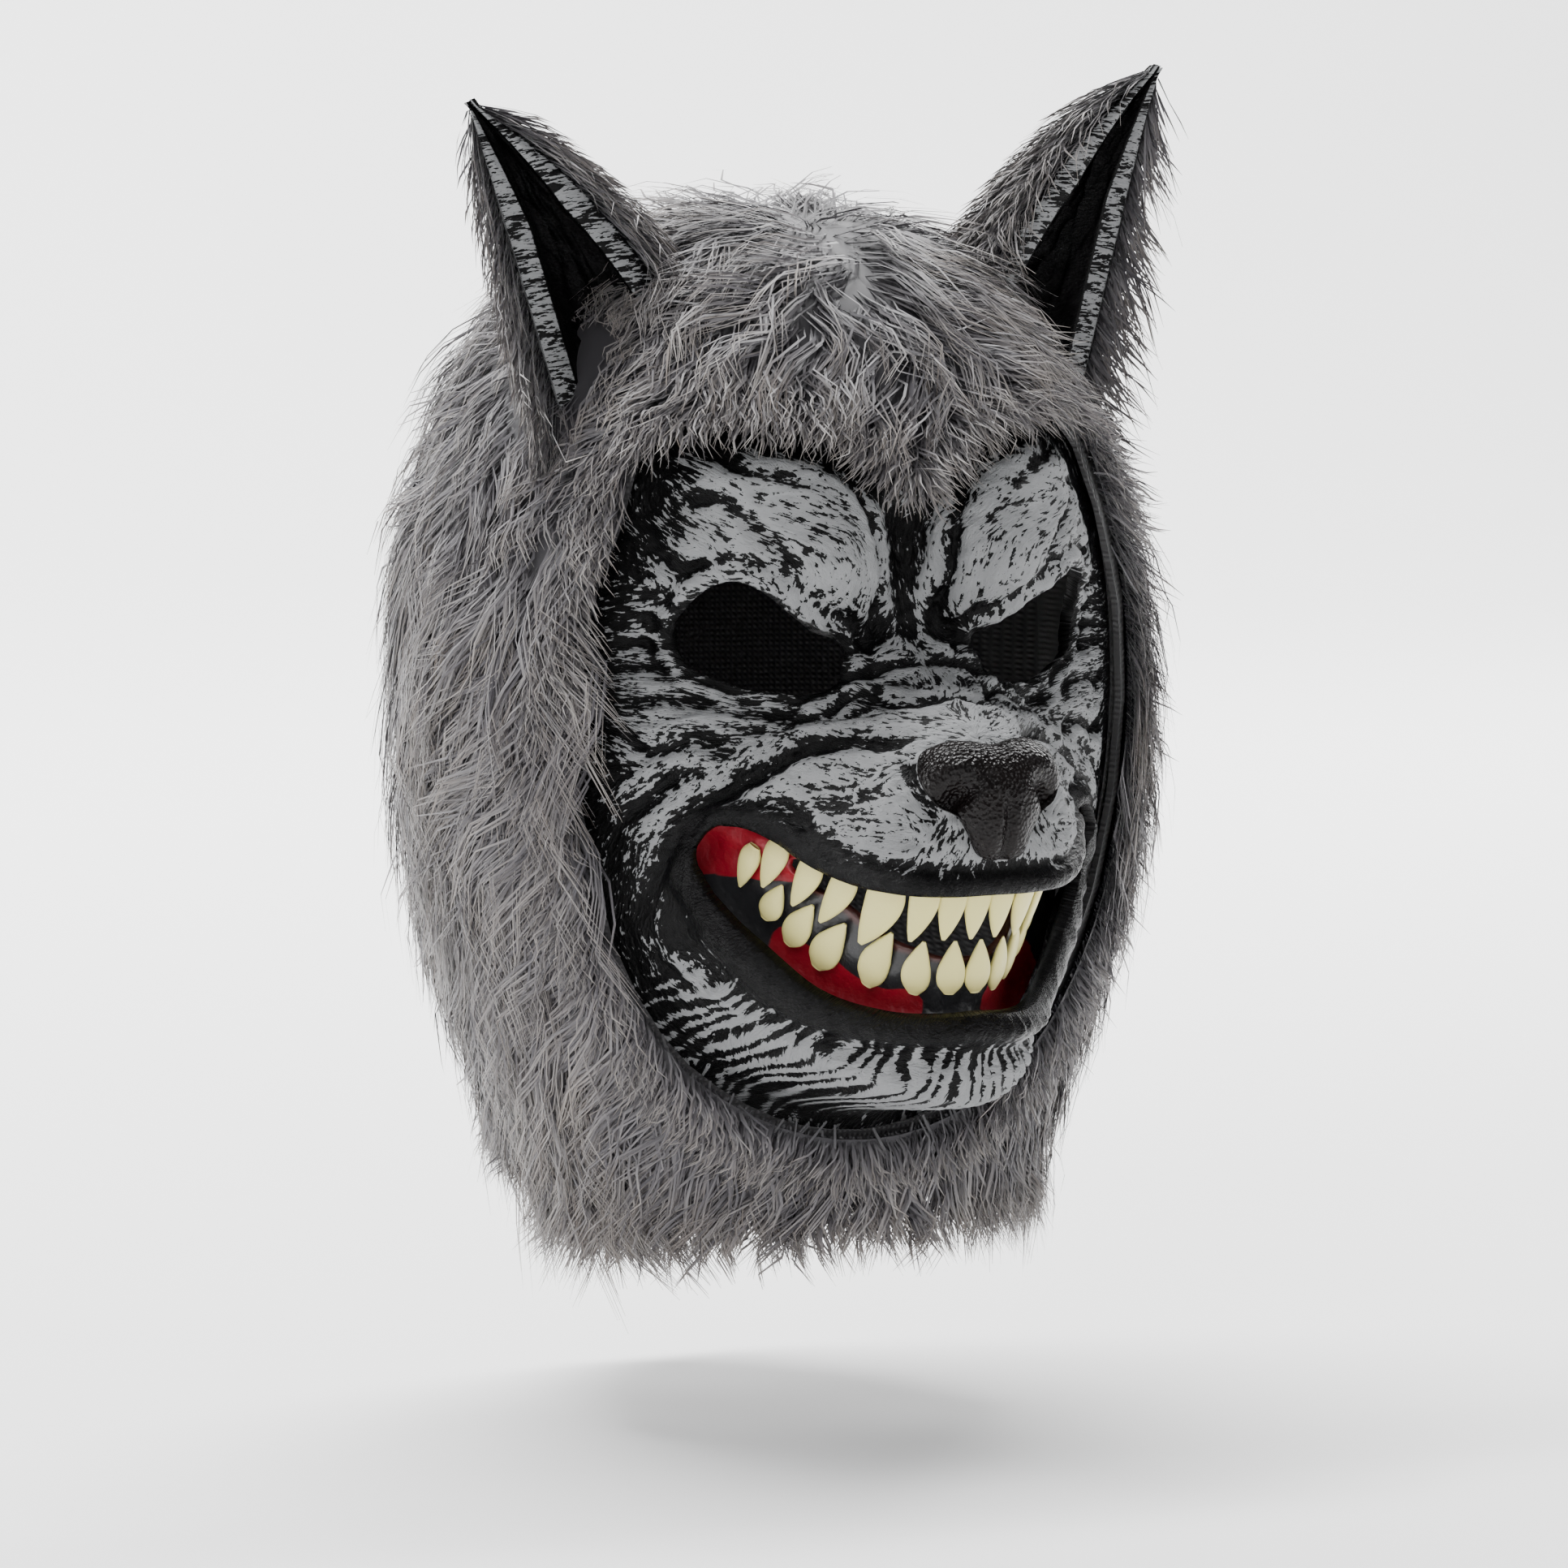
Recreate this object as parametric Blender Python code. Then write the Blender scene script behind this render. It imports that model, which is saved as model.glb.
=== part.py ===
"""Werewolf mask: a moulded wolf face with bared teeth, carried by a faux-fur hood with two ears.

Metres, +Z up. The face looks along -Y and +X is the viewer's right. The origin is the
inside of the crown, where the hood sits on the top of the wearer's head.
"""

import math

import bmesh
import bpy
import mathutils
import numpy as np
from mathutils.bvhtree import BVHTree

# Head form: the inside of the hood.
HEAD_HALF_WIDTH = 0.097
HEAD_FRONT = 0.098
HEAD_BACK = 0.104
HOOD_DROP = 0.262
HEM_FALL = 0.008
HOOD_WALL = 0.002
PILE_BASE = 0.0025
LOCK_RISE = 0.008
LOCK_LENGTH = 0.027
HEM_LOCK_LENGTH = 0.038
LOCK_CLEARANCE = 0.010
SEAT_GAP = 0.0004
PILE_GAP = 0.0009
SEAT_SEARCH = 0.020
SEAT_STEP = 0.00002

# Face.
FACE_HALF_WIDTH = 0.084
FACE_TOP = -0.040
FACE_HEIGHT = 0.218
MUZZLE_REACH = 0.145
FACE_WALL = 0.0035
FOLD_DEPTH = 0.003
FLANGE_GAP = 0.0024
FLANGE_START = 0.0035
EDGE_BLEND = 0.013
CUT_FRONT = -0.200
HOLE_CUT_BACK = -0.020
OPENING_CUT_BACK = -0.012

# Mouth, teeth and nose.
PLATE_WALL = 0.002
PLATE_GAP = 0.0026
UPPER_RECESS = 0.0040
LOWER_RECESS = 0.0068
PLATE_MARGIN = 0.010
TOOTH_THICKNESS = 0.0034
TOOTH_GAP = 0.0019
NOSE_RISE = 0.009
NOSE_HALF_WIDTH = 0.0180
NOSE_HEIGHT = 0.0285
NOSE_TOP = -0.1385
NOSE_EDGE_SHARE = 0.93

# Ears.
EAR_RIM = 0.0075
EAR_DEPTH = 0.026
EAR_PILE = 0.008
EAR_PILE_GAP = 0.0005
EAR_SEAT_GAP = 0.0020
EAR_INNER_BASE = np.array((0.043, -0.042, -0.031))
EAR_OUTER_BASE = np.array((0.081, -0.036, -0.046))
EAR_TIP = np.array((0.109, -0.030, 0.044))
EAR_DROOP = np.array((0.0055, 0.000, 0.0065))

# Mesh steps.
EAR_POINTS = 8
EAR_LEVELS = (-0.35, -0.10, 0.08, 0.24, 0.40, 0.56, 0.70, 0.82, 0.93, 0.995)
HOOD_COLUMNS = 28
HOOD_ROWS = 12
FACE_COLUMNS = 30
FACE_ROWS = 28
PLATE_POINTS = 28
NOSE_POINTS = 14

# Sections of the head form, each a share of its own named size.
HEAD_SECTIONS = (
    # drop, half width, front, back
    (0.000, 0.000, 0.000, 0.000),
    (0.015, 0.280, 0.270, 0.320),
    (0.052, 0.520, 0.520, 0.570),
    (0.114, 0.720, 0.720, 0.770),
    (0.206, 0.870, 0.880, 0.900),
    (0.320, 0.960, 0.965, 0.975),
    (0.440, 1.000, 1.000, 1.000),
    (0.580, 0.990, 0.970, 1.000),
    (0.720, 0.930, 0.870, 0.980),
    (0.840, 0.830, 0.730, 0.960),
    (0.930, 0.730, 0.580, 0.950),
    (1.000, 0.670, 0.480, 0.945),
    (1.080, 0.640, 0.440, 0.940),
)

# Sections of the face. The drop is a share of FACE_HEIGHT, the edge of FACE_HALF_WIDTH, and
# the reach forward of MUZZLE_REACH, at eight even steps from the middle to the half width.
FACE_SECTIONS = (
    # drop, edge, reach at 0/7 ... 7/7 of the half width
    (0.000, 0.74, (0.520, 0.515, 0.500, 0.475, 0.430, 0.370, 0.280, 0.130)),
    (0.070, 0.88, (0.555, 0.590, 0.612, 0.598, 0.550, 0.470, 0.355, 0.190)),
    (0.160, 0.97, (0.570, 0.650, 0.690, 0.675, 0.615, 0.520, 0.400, 0.255)),
    (0.252, 1.02, (0.585, 0.668, 0.705, 0.680, 0.620, 0.535, 0.420, 0.280)),
    (0.330, 1.06, (0.633, 0.620, 0.602, 0.567, 0.520, 0.467, 0.400, 0.295)),
    (0.376, 1.07, (0.755, 0.712, 0.630, 0.580, 0.540, 0.493, 0.420, 0.313)),
    (0.431, 1.07, (0.915, 0.885, 0.775, 0.640, 0.573, 0.513, 0.433, 0.320)),
    (0.495, 1.06, (0.980, 0.965, 0.900, 0.735, 0.607, 0.527, 0.433, 0.320)),
    (0.560, 1.05, (0.985, 0.978, 0.933, 0.805, 0.645, 0.533, 0.427, 0.307)),
    (0.624, 1.03, (0.978, 0.972, 0.938, 0.830, 0.653, 0.520, 0.407, 0.287)),
    (0.711, 0.98, (0.940, 0.925, 0.865, 0.740, 0.600, 0.480, 0.373, 0.253)),
    (0.789, 0.91, (0.905, 0.885, 0.800, 0.667, 0.547, 0.440, 0.333, 0.200)),
    (0.872, 0.80, (0.880, 0.853, 0.753, 0.607, 0.487, 0.380, 0.273, 0.133)),
    (0.936, 0.68, (0.813, 0.780, 0.667, 0.520, 0.407, 0.307, 0.207, 0.067)),
    (0.972, 0.58, (0.693, 0.660, 0.553, 0.420, 0.327, 0.240, 0.140, 0.000)),
    (1.000, 0.46, (0.533, 0.507, 0.427, 0.333, 0.253, 0.167, 0.067, 0.000)),
)

# Folds of the face, as shares: depth of FOLD_DEPTH (a ridge is above 0), width of
# FACE_HALF_WIDTH, and each point of the fold by half width and drop.
FACE_FOLDS = (
    # name, depth, width, points
    ("frown_groove", -0.90, 0.060, ((0.05, 0.10), (0.07, 0.20), (0.10, 0.30), (0.18, 0.36))),
    ("frown_ridge", 0.50, 0.060, ((0.00, 0.20), (0.00, 0.27), (0.00, 0.33))),
    ("brow_edge", 0.80, 0.070, ((0.16, 0.30), (0.28, 0.285), (0.42, 0.245), (0.56, 0.220))),
    ("temple_groove", -0.90, 0.060, ((0.80, 0.10), (0.77, 0.17), (0.71, 0.23), (0.62, 0.24))),
    ("lower_lid", 0.60, 0.060, ((0.24, 0.41), (0.40, 0.43), (0.58, 0.41), (0.72, 0.37))),
    ("cheek_groove", -0.80, 0.070, ((0.30, 0.46), (0.46, 0.50), (0.62, 0.49), (0.80, 0.50))),
    ("snarl_groove", -1.00, 0.080, ((0.30, 0.49), (0.46, 0.53), (0.62, 0.56), (0.80, 0.64), (0.86, 0.74))),
    ("cheek_ridge", 0.90, 0.100, ((0.48, 0.56), (0.64, 0.58), (0.78, 0.64), (0.84, 0.74))),
    ("jaw_groove", -0.80, 0.070, ((0.72, 0.66), (0.78, 0.74), (0.76, 0.82))),
    ("nose_groove", -0.80, 0.050, ((0.16, 0.42), (0.30, 0.46), (0.34, 0.54))),
    ("philtrum", -0.80, 0.035, ((0.00, 0.58), (0.00, 0.63))),
)

# Half of each opening's outline, by half width and drop.
EYE_OUTLINE = (
    (0.224, 0.342), (0.330, 0.314), (0.465, 0.279), (0.545, 0.256), (0.610, 0.248),
    (0.685, 0.268), (0.720, 0.312), (0.695, 0.350), (0.610, 0.374), (0.505, 0.388), (0.373, 0.392), (0.262, 0.374),
)
MOUTH_OUTLINE = (
    (0.000, 0.629), (0.160, 0.629), (0.310, 0.624), (0.400, 0.615), (0.470, 0.598),
    (0.530, 0.572), (0.600, 0.554), (0.665, 0.556), (0.706, 0.582), (0.692, 0.622),
    (0.625, 0.668), (0.540, 0.710), (0.420, 0.760), (0.280, 0.782), (0.140, 0.784), (0.000, 0.782),
)
SLOT_OUTLINE = (
    (0.000, 0.640), (0.120, 0.640), (0.240, 0.637), (0.330, 0.628), (0.400, 0.612),
    (0.460, 0.597), (0.520, 0.590), (0.560, 0.598), (0.550, 0.622), (0.490, 0.655),
    (0.420, 0.685), (0.320, 0.716), (0.210, 0.730), (0.100, 0.734), (0.000, 0.734),
)
HOOD_OUTLINE = (
    (0.000, 0.128), (0.070, 0.112), (0.150, 0.078), (0.280, 0.056), (0.420, 0.048),
    (0.580, 0.052), (0.710, 0.068), (0.800, 0.112), (0.868, 0.195), (0.950, 0.290),
    (0.988, 0.400), (0.965, 0.540), (0.890, 0.675), (0.775, 0.780), (0.640, 0.855),
    (0.450, 0.915), (0.230, 0.955), (0.000, 0.968),
)
NOSE_OUTLINE = (
    # half width as a share of NOSE_HALF_WIDTH, drop as a share of NOSE_HEIGHT
    (0.00, 0.03), (0.30, 0.00), (0.65, 0.02), (0.92, 0.14), (1.00, 0.32),
    (0.86, 0.50), (0.60, 0.60), (0.46, 0.76), (0.34, 0.94), (0.00, 1.00),
)

# Teeth, one side: place as a share of FACE_HALF_WIDTH, root and tip drops as shares of
# FACE_HEIGHT, width as a share of FACE_HALF_WIDTH, lean of the tip as a share of it too.
UPPER_TEETH = (
    # place, root, tip, width, lean
    (0.000, 0.610, 0.690, 0.082, 0.000),
    (0.092, 0.610, 0.690, 0.084, 0.000),
    (0.182, 0.609, 0.691, 0.088, 0.004),
    (0.274, 0.604, 0.697, 0.125, 0.020),
    (0.366, 0.600, 0.672, 0.092, 0.026),
    (0.424, 0.588, 0.653, 0.090, 0.024),
    (0.482, 0.570, 0.632, 0.086, 0.026),
    (0.543, 0.580, 0.634, 0.070, 0.014),
)
LOWER_TEETH = (
    (0.050, 0.762, 0.694, 0.086, 0.000),
    (0.155, 0.762, 0.694, 0.088, -0.002),
    (0.262, 0.754, 0.684, 0.098, -0.024),
    (0.372, 0.735, 0.676, 0.100, -0.034),
    (0.440, 0.706, 0.654, 0.092, -0.030),
    (0.494, 0.674, 0.630, 0.080, -0.024),
)
TOOTH_SECTIONS = (
    # share of the length, share of the width, share of the thickness
    (0.13, 0.72, 0.70),
    (0.40, 1.00, 1.00),
    (0.80, 0.48, 0.62),
)
TOOTH_SIDES = 6

MATERIALS = {
    "face": ((0.115, 0.118, 0.120), 0.60),
    "nose": ((0.012, 0.011, 0.011), 0.35),
    "gum": ((0.300, 0.004, 0.014), 0.45),
    "tooth": ((0.660, 0.600, 0.300), 0.45),
    "ear": ((0.115, 0.118, 0.120), 0.60),
    "backing": ((0.120, 0.115, 0.118), 0.95),
    "fur": ((0.160, 0.150, 0.148), 0.90),
}


def smooth(t):
    """0 to 1 with level ends."""
    t = np.clip(t, 0.0, 1.0)
    return t * t * (3.0 - 2.0 * t)


def curve_through(knots, values, at):
    """A smooth curve through values at knots, read at each of at."""
    knots, values, at = (np.asarray(a, float) for a in (knots, values, at))
    slopes = np.gradient(values, knots, axis=0)
    i = np.clip(np.searchsorted(knots, at) - 1, 0, len(knots) - 2)
    step = knots[i + 1] - knots[i]
    t = np.clip((at - knots[i]) / step, 0.0, 1.0)
    shape = t.shape + (1,) * (values.ndim - 1)
    t, step = t.reshape(shape), step.reshape(shape)
    start, end = values[i], values[i + 1]
    return (
        (2 * t**3 - 3 * t**2 + 1) * start
        + (t**3 - 2 * t**2 + t) * step * slopes[i]
        + (3 * t**2 - 2 * t**3) * end
        + (t**3 - t**2) * step * slopes[i + 1]
    )


def closed_outline(half, count):
    """Points evenly along the smooth closed outline whose +X half runs from top to bottom."""
    half = np.asarray(half, float)
    left = half[-2:0:-1] * (-1, 1)
    return even_loop(np.vstack([half, left]), count)


def even_loop(points, count):
    """count points evenly along the smooth closed curve through points."""
    loop = np.vstack([points[-3:], points, points[:3]])
    steps = np.linalg.norm(np.diff(loop, axis=0), axis=1)
    along = np.concatenate([[0.0], np.cumsum(steps)])
    dense = curve_through(along, loop, np.linspace(along[3], along[-3], 40 * count))
    length = np.concatenate([[0.0], np.cumsum(np.linalg.norm(np.diff(dense, axis=0), axis=1))])
    at = np.linspace(0.0, length[-1], count, endpoint=False)
    return np.stack([np.interp(at, length, dense[:, k]) for k in range(dense.shape[1])], 1)


def face_point(share):
    """(x, z) in metres of outline points given as shares of the face's half width and height."""
    share = np.asarray(share, float)
    return np.stack([share[..., 0] * FACE_HALF_WIDTH, FACE_TOP - share[..., 1] * FACE_HEIGHT], -1)


def depth_inside(x, z, outline):
    """Distance from a closed outline in x and z, above 0 inside it and below 0 outside."""
    point = np.stack(np.broadcast_arrays(x, z), -1)[..., None, :]
    start, end = outline, np.roll(outline, -1, 0)
    way = end - start
    t = np.clip(((point - start) * way).sum(-1) / (way**2).sum(-1), 0.0, 1.0)
    away = np.linalg.norm(point - start - t[..., None] * way, axis=-1).min(-1)
    spans = (start[:, 1] > point[..., 1]) != (end[:, 1] > point[..., 1])
    rise = np.where(way[:, 1] == 0, 1.0, way[:, 1])
    meets = start[:, 0] + way[:, 0] * (point[..., 1] - start[:, 1]) / rise
    inside = (spans & (point[..., 0] < meets)).sum(-1) % 2 == 1
    return np.where(inside, away, -away)


# Head form


def dense_sections():
    """Drop, half width, front and back of the head form at many heights."""
    rows = np.array(HEAD_SECTIONS)
    index = np.linspace(0, len(rows) - 1, 40 * len(rows))
    rows = curve_through(np.arange(len(rows)), rows, index)
    return rows * (HOOD_DROP, HEAD_HALF_WIDTH, HEAD_FRONT, HEAD_BACK)


SECTIONS = dense_sections()


def head_size(z, column):
    return np.interp(-np.asarray(z, float), SECTIONS[:, 0], SECTIONS[:, column])


def head_reach(x, z, shrink=0.0):
    """How far forward the head form reaches at x and z, after shrinking it all round."""
    half, front = head_size(z, 1) - shrink, head_size(z, 2) - shrink
    return front * np.sqrt(np.clip(1.0 - (x / half) ** 2, 0.0, 1.0))


def head_rings():
    """Horizontal rings of the head form, from just under the pole down to the hem."""
    drop = SECTIONS[SECTIONS[:, 0] <= HOOD_DROP]
    along = np.concatenate([[0], np.cumsum(np.hypot(np.diff(drop[:, 0]), np.diff(drop[:, 1])))])
    even = np.linspace(0, along[-1], HOOD_ROWS + 1)[1:]
    turn = np.arange(HOOD_COLUMNS) * 2 * math.pi / HOOD_COLUMNS
    rings = []
    for level in np.interp(even, along, drop[:, 0]):
        z = -level - HEM_FALL * (level / HOOD_DROP) ** 2 * np.cos(turn)
        depth = np.where(np.cos(turn) > 0, head_size(z, 2), head_size(z, 3))
        rings.append(np.stack([head_size(z, 1) * np.sin(turn), -depth * np.cos(turn), z], 1))
    return np.array(rings)


def ring_normals(rings):
    """Outward unit normals of the rings' surface, and the pole's is straight up."""
    around = np.roll(rings, -1, 1) - np.roll(rings, 1, 1)
    top = np.zeros_like(rings[:1])
    down = np.gradient(np.concatenate([top, rings]), axis=0)[1:]
    normals = np.cross(down, around)
    return normals / np.linalg.norm(normals, axis=2, keepdims=True)


RINGS = head_rings()
NORMALS = ring_normals(RINGS)


def form_rings(thickness):
    """The pole and the rings of the head form, moved outward by a thickness."""
    return np.array((0, 0, thickness)), RINGS + NORMALS * thickness


# Face surface

OPENING = face_point(closed_outline(HOOD_OUTLINE, 48))
MOUTH = face_point(closed_outline(MOUTH_OUTLINE, 36))


def face_edge(z):
    """Half width of the face at height z."""
    drop = (FACE_TOP - np.asarray(z, float)) / FACE_HEIGHT
    rows = [r[0] for r in FACE_SECTIONS]
    return FACE_HALF_WIDTH * curve_through(rows, [r[1] for r in FACE_SECTIONS], drop)


def sculpted_reach(x, z):
    """How far forward the sculpted face reaches at x and z, from its sections."""
    x, z = np.broadcast_arrays(np.abs(np.asarray(x, float)), np.asarray(z, float))
    drop = (FACE_TOP - z) / FACE_HEIGHT
    rows = np.array([r[2] for r in FACE_SECTIONS])
    across = curve_through([r[0] for r in FACE_SECTIONS], rows, drop)
    columns = rows.shape[1]
    slopes = np.gradient(across, axis=-1)
    slopes[..., 0] = 0.0
    place = np.clip(x / FACE_HALF_WIDTH * (columns - 1), 0, columns - 1.001)
    i = place.astype(int)
    t = place - i

    def pick(values, k):
        return np.take_along_axis(values, k[..., None], -1)[..., 0]

    return MUZZLE_REACH * (
        (2 * t**3 - 3 * t**2 + 1) * pick(across, i)
        + (t**3 - 2 * t**2 + t) * pick(slopes, i)
        + (3 * t**2 - 2 * t**3) * pick(across, i + 1)
        + (t**3 - t**2) * pick(slopes, i + 1)
    )


def sculpt_share(x, z):
    """0 on the flange under the hood's edge, 1 over most of the face."""
    return smooth((depth_inside(x, z, OPENING) - FLANGE_START) / EDGE_BLEND)


def face_reach(x, z):
    """The sculpted face, let down onto the head form along its edge so that the hood covers it."""
    form = head_reach(x, z, FLANGE_GAP)
    return form + sculpt_share(x, z) * (sculpted_reach(x, z) - form)


def on_face(x, z):
    x, z = np.broadcast_arrays(np.asarray(x, float), np.asarray(z, float))
    return np.stack([x, -face_reach(x, z), z], -1)


def face_normal(x, z, step=0.0015):
    """Outward unit normals of the face, without its folds."""
    across = on_face(x + step, z) - on_face(x - step, z)
    up = on_face(x, z + step) - on_face(x, z - step)
    normal = np.cross(across, up)
    return normal / np.linalg.norm(normal, axis=-1, keepdims=True)


def fold_height(points):
    """How far the folds raise the face at points on it."""
    mirrored = points.copy()
    mirrored[..., 0] = np.abs(mirrored[..., 0])
    height = np.zeros(points.shape[:-1])
    for _, depth, width, path in FACE_FOLDS:
        path = np.asarray(path)
        steps = np.linspace(0, len(path) - 1, 8 * len(path))
        line = face_point(curve_through(np.arange(len(path)), path, steps))
        line = on_face(line[:, 0], line[:, 1])
        away = np.linalg.norm(mirrored[..., None, :] - line, axis=-1).min(-1)
        height += depth * FOLD_DEPTH * np.exp(-((away / (width * FACE_HALF_WIDTH)) ** 2))
    return height


def face_grid():
    """x and z of the face's rows and columns, at even steps along its surface."""
    z = np.linspace(FACE_TOP, FACE_TOP - FACE_HEIGHT, 400)
    reach = face_reach(0.2 * FACE_HALF_WIDTH, z)
    along = np.concatenate([[0], np.cumsum(np.hypot(np.diff(z), np.diff(reach)))])
    heights = np.interp(np.linspace(0, along[-1], FACE_ROWS + 1), along, z)
    rows = []
    for height in heights:
        x = np.linspace(0, face_edge(height), 200)
        reach = face_reach(x, height)
        along = np.concatenate([[0], np.cumsum(np.hypot(np.diff(x), np.diff(reach)))])
        half = np.interp(np.linspace(0, along[-1], FACE_COLUMNS // 2 + 1), along, x)
        rows.append(np.concatenate([-half[:0:-1], half]))
    return np.array(rows), np.repeat(heights[:, None], FACE_COLUMNS + 1, 1)


# Mesh helpers


def material(name):
    if name in bpy.data.materials:
        return bpy.data.materials[name]
    colour, roughness = MATERIALS[name]
    made = bpy.data.materials.new(name)
    made.use_nodes = True
    shader = made.node_tree.nodes["Principled BSDF"]
    shader.inputs["Base Color"].default_value = (*colour, 1.0)
    shader.inputs["Roughness"].default_value = roughness
    shader.inputs["Metallic"].default_value = 0.0
    made.diffuse_color = (*colour, 1.0)
    return made


def add_object(name, bm, slot=None):
    """A scene object from a closed bmesh, with its faces pointing out."""
    bmesh.ops.recalc_face_normals(bm, faces=bm.faces)
    mesh = bpy.data.meshes.new(name)
    bm.to_mesh(mesh)
    bm.free()
    mesh.shade_smooth()
    mesh.set_sharp_from_angle(angle=math.radians(40))
    obj = bpy.data.objects.new(name, mesh)
    bpy.context.scene.collection.objects.link(obj)
    if slot:
        mesh.materials.append(material(slot))
    return obj


def loft(rings, start="fill", end="fill", around=False):
    """A closed bmesh through rings of equal length, each end filled, strip-filled or fanned to a point."""
    bm = bmesh.new()
    loops = [[bm.verts.new(p) for p in ring] for ring in rings]
    count = len(loops[0])
    pairs = list(zip(loops, loops[1:] + loops[:1] if around else loops[1:]))
    for a, b in pairs:
        for j in range(count):
            k = (j + 1) % count
            bm.faces.new((a[j], a[k], b[k], b[j]))
    if not around:
        for loop, finish in ((loops[0], start), (loops[-1], end)):
            close_loop(bm, loop, finish)
    return bm


def close_loop(bm, loop, finish):
    count = len(loop)
    if isinstance(finish, str) and finish == "fill":
        bm.faces.new(loop)
    elif isinstance(finish, str) and finish == "strip":
        for j in range(count // 2 - 1):
            bm.faces.new((loop[j], loop[j + 1], loop[count - 2 - j], loop[count - 1 - j]))
    else:
        point = bm.verts.new(finish)
        for j in range(count):
            bm.faces.new((loop[j], loop[(j + 1) % count], point))


def prism(name, outline, front, back):
    """A hidden cutter: an outline in x and z, run from y = front to y = back."""
    rings = [np.stack([outline[:, 0], np.full(len(outline), y), outline[:, 1]], 1) for y in (front, back)]
    cutter = add_object(name, loft(rings))
    hide_helper(cutter)
    return cutter


def hide_helper(obj):
    obj.hide_render = True
    obj.display_type = "WIRE"


def cut(obj, cutter):
    modifier = obj.modifiers.new(cutter.name, "BOOLEAN")
    modifier.operation = "DIFFERENCE"
    modifier.solver = "EXACT"
    modifier.object = cutter


def apply_modifiers(obj):
    graph = bpy.context.evaluated_depsgraph_get()
    mesh = bpy.data.meshes.new_from_object(obj.evaluated_get(graph))
    obj.modifiers.clear()
    obj.data = mesh


def surface_tree(obj):
    """A search tree over an object's finished surface."""
    graph = bpy.context.evaluated_depsgraph_get()
    return BVHTree.FromObject(obj.evaluated_get(graph), graph)


def surface_samples(obj):
    """Corners, points along the edges and face centres of a mesh."""
    corners = [v.co for v in obj.data.vertices]
    samples = corners + [f.center for f in obj.data.polygons]
    for a, b in obj.data.edge_keys:
        samples += [corners[a].lerp(corners[b], share) for share in (0.25, 0.5, 0.75)]
    return samples


def seat_on(objects, carrier, way, clearance):
    """Moves objects together along a way until the first of them is a clearance from the carrier."""
    for obj in objects:
        apply_modifiers(obj)
    way = mathutils.Vector(way).normalized()
    carrier_tree = surface_tree(carrier)
    trees = [surface_tree(obj) for obj in objects]
    samples = [point for obj in objects for point in surface_samples(obj)]
    near = [p for p in surface_samples(carrier) if min(tree.find_nearest(p)[3] for tree in trees) < SEAT_SEARCH]
    moved = 0.0
    for _ in range(40):
        shift = way * moved
        gaps = [carrier_tree.find_nearest(point + shift)[3] for point in samples]
        gaps += [tree.find_nearest(point - shift)[3] for point in near for tree in trees]
        spare = min(gaps) - clearance
        moved += spare
        if spare < SEAT_STEP:
            break
    for obj in objects:
        obj.data.transform(mathutils.Matrix.Translation(way * moved))


# Sub-parts


def shell_of_form(name, inner, outer, slot):
    """A hood-shaped shell between two thicknesses of the head form, open at the hem."""
    inner_pole, inner_rings = form_rings(inner)
    outer_pole, outer_rings = form_rings(outer)
    rings = list(inner_rings) + list(outer_rings[::-1])
    return add_object(name, loft(rings, inner_pole, outer_pole), slot)


def form_cutter(name, thickness):
    """A hidden cutter: the whole head form, moved outward by a thickness."""
    pole, rings = form_rings(thickness)
    cutter = add_object(name, loft(list(rings), pole, "fill"))
    hide_helper(cutter)
    return cutter


def make_hood(opening):
    hood = shell_of_form("hood", 0.0, HOOD_WALL, "backing")
    cut(hood, opening)
    return hood


def over_ear(point):
    """True where a point of the pile is under an ear or inside its hollow."""
    base = (EAR_INNER_BASE + EAR_OUTER_BASE) / 2 + np.array((-0.2, 0.45, 0)) * EAR_DEPTH
    side = np.array((abs(point[0]), point[1], point[2]))
    axis = EAR_TIP - base
    t = np.clip((side - base) @ axis / (axis @ axis), -0.3, 1.0)
    return np.linalg.norm(side - base - t * axis) < 0.85 * EAR_DEPTH * (1.0 - 0.6 * max(t, 0)) + EAR_PILE


def nap(face, swing=0.0):
    """The way a lock of this face lies: down, or outward from the middle on the crown."""
    normal = face.normal
    centre = face.calc_center_median()
    down = mathutils.Vector((0, 0, -1)) if abs(normal.z) < 0.85 else mathutils.Vector((centre.x, centre.y, 0))
    along = (down - normal * down.dot(normal)).normalized()
    return (along + normal.cross(along) * swing).normalized()


def grow_lock(bm, face, rise, run, swing):
    """Draws a face of the pile out into a lock that lies down along the nap."""
    normal = face.normal.copy()
    centre = face.calc_center_median()
    along = nap(face, swing)
    base = list(face.verts)
    middle = []
    for vert in base:
        drawn = centre + (vert.co - centre) * 0.80 + normal * rise * 0.75 + along * run * 0.38
        middle.append(bm.verts.new(drawn))
    tip = bm.verts.new(centre + normal * rise + along * run)
    bm.faces.remove(face)
    for j in range(4):
        k = (j + 1) % 4
        bm.faces.new((base[j], base[k], middle[k], middle[j]))
        bm.faces.new((middle[j], middle[k], tip))


def lock_length(face):
    """The length of a face's lock: longer in the last row, which hangs below the hem."""
    row = HOOD_DROP / HOOD_ROWS
    return HEM_LOCK_LENGTH if face.calc_center_median().z < row - HOOD_DROP else LOCK_LENGTH


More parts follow.
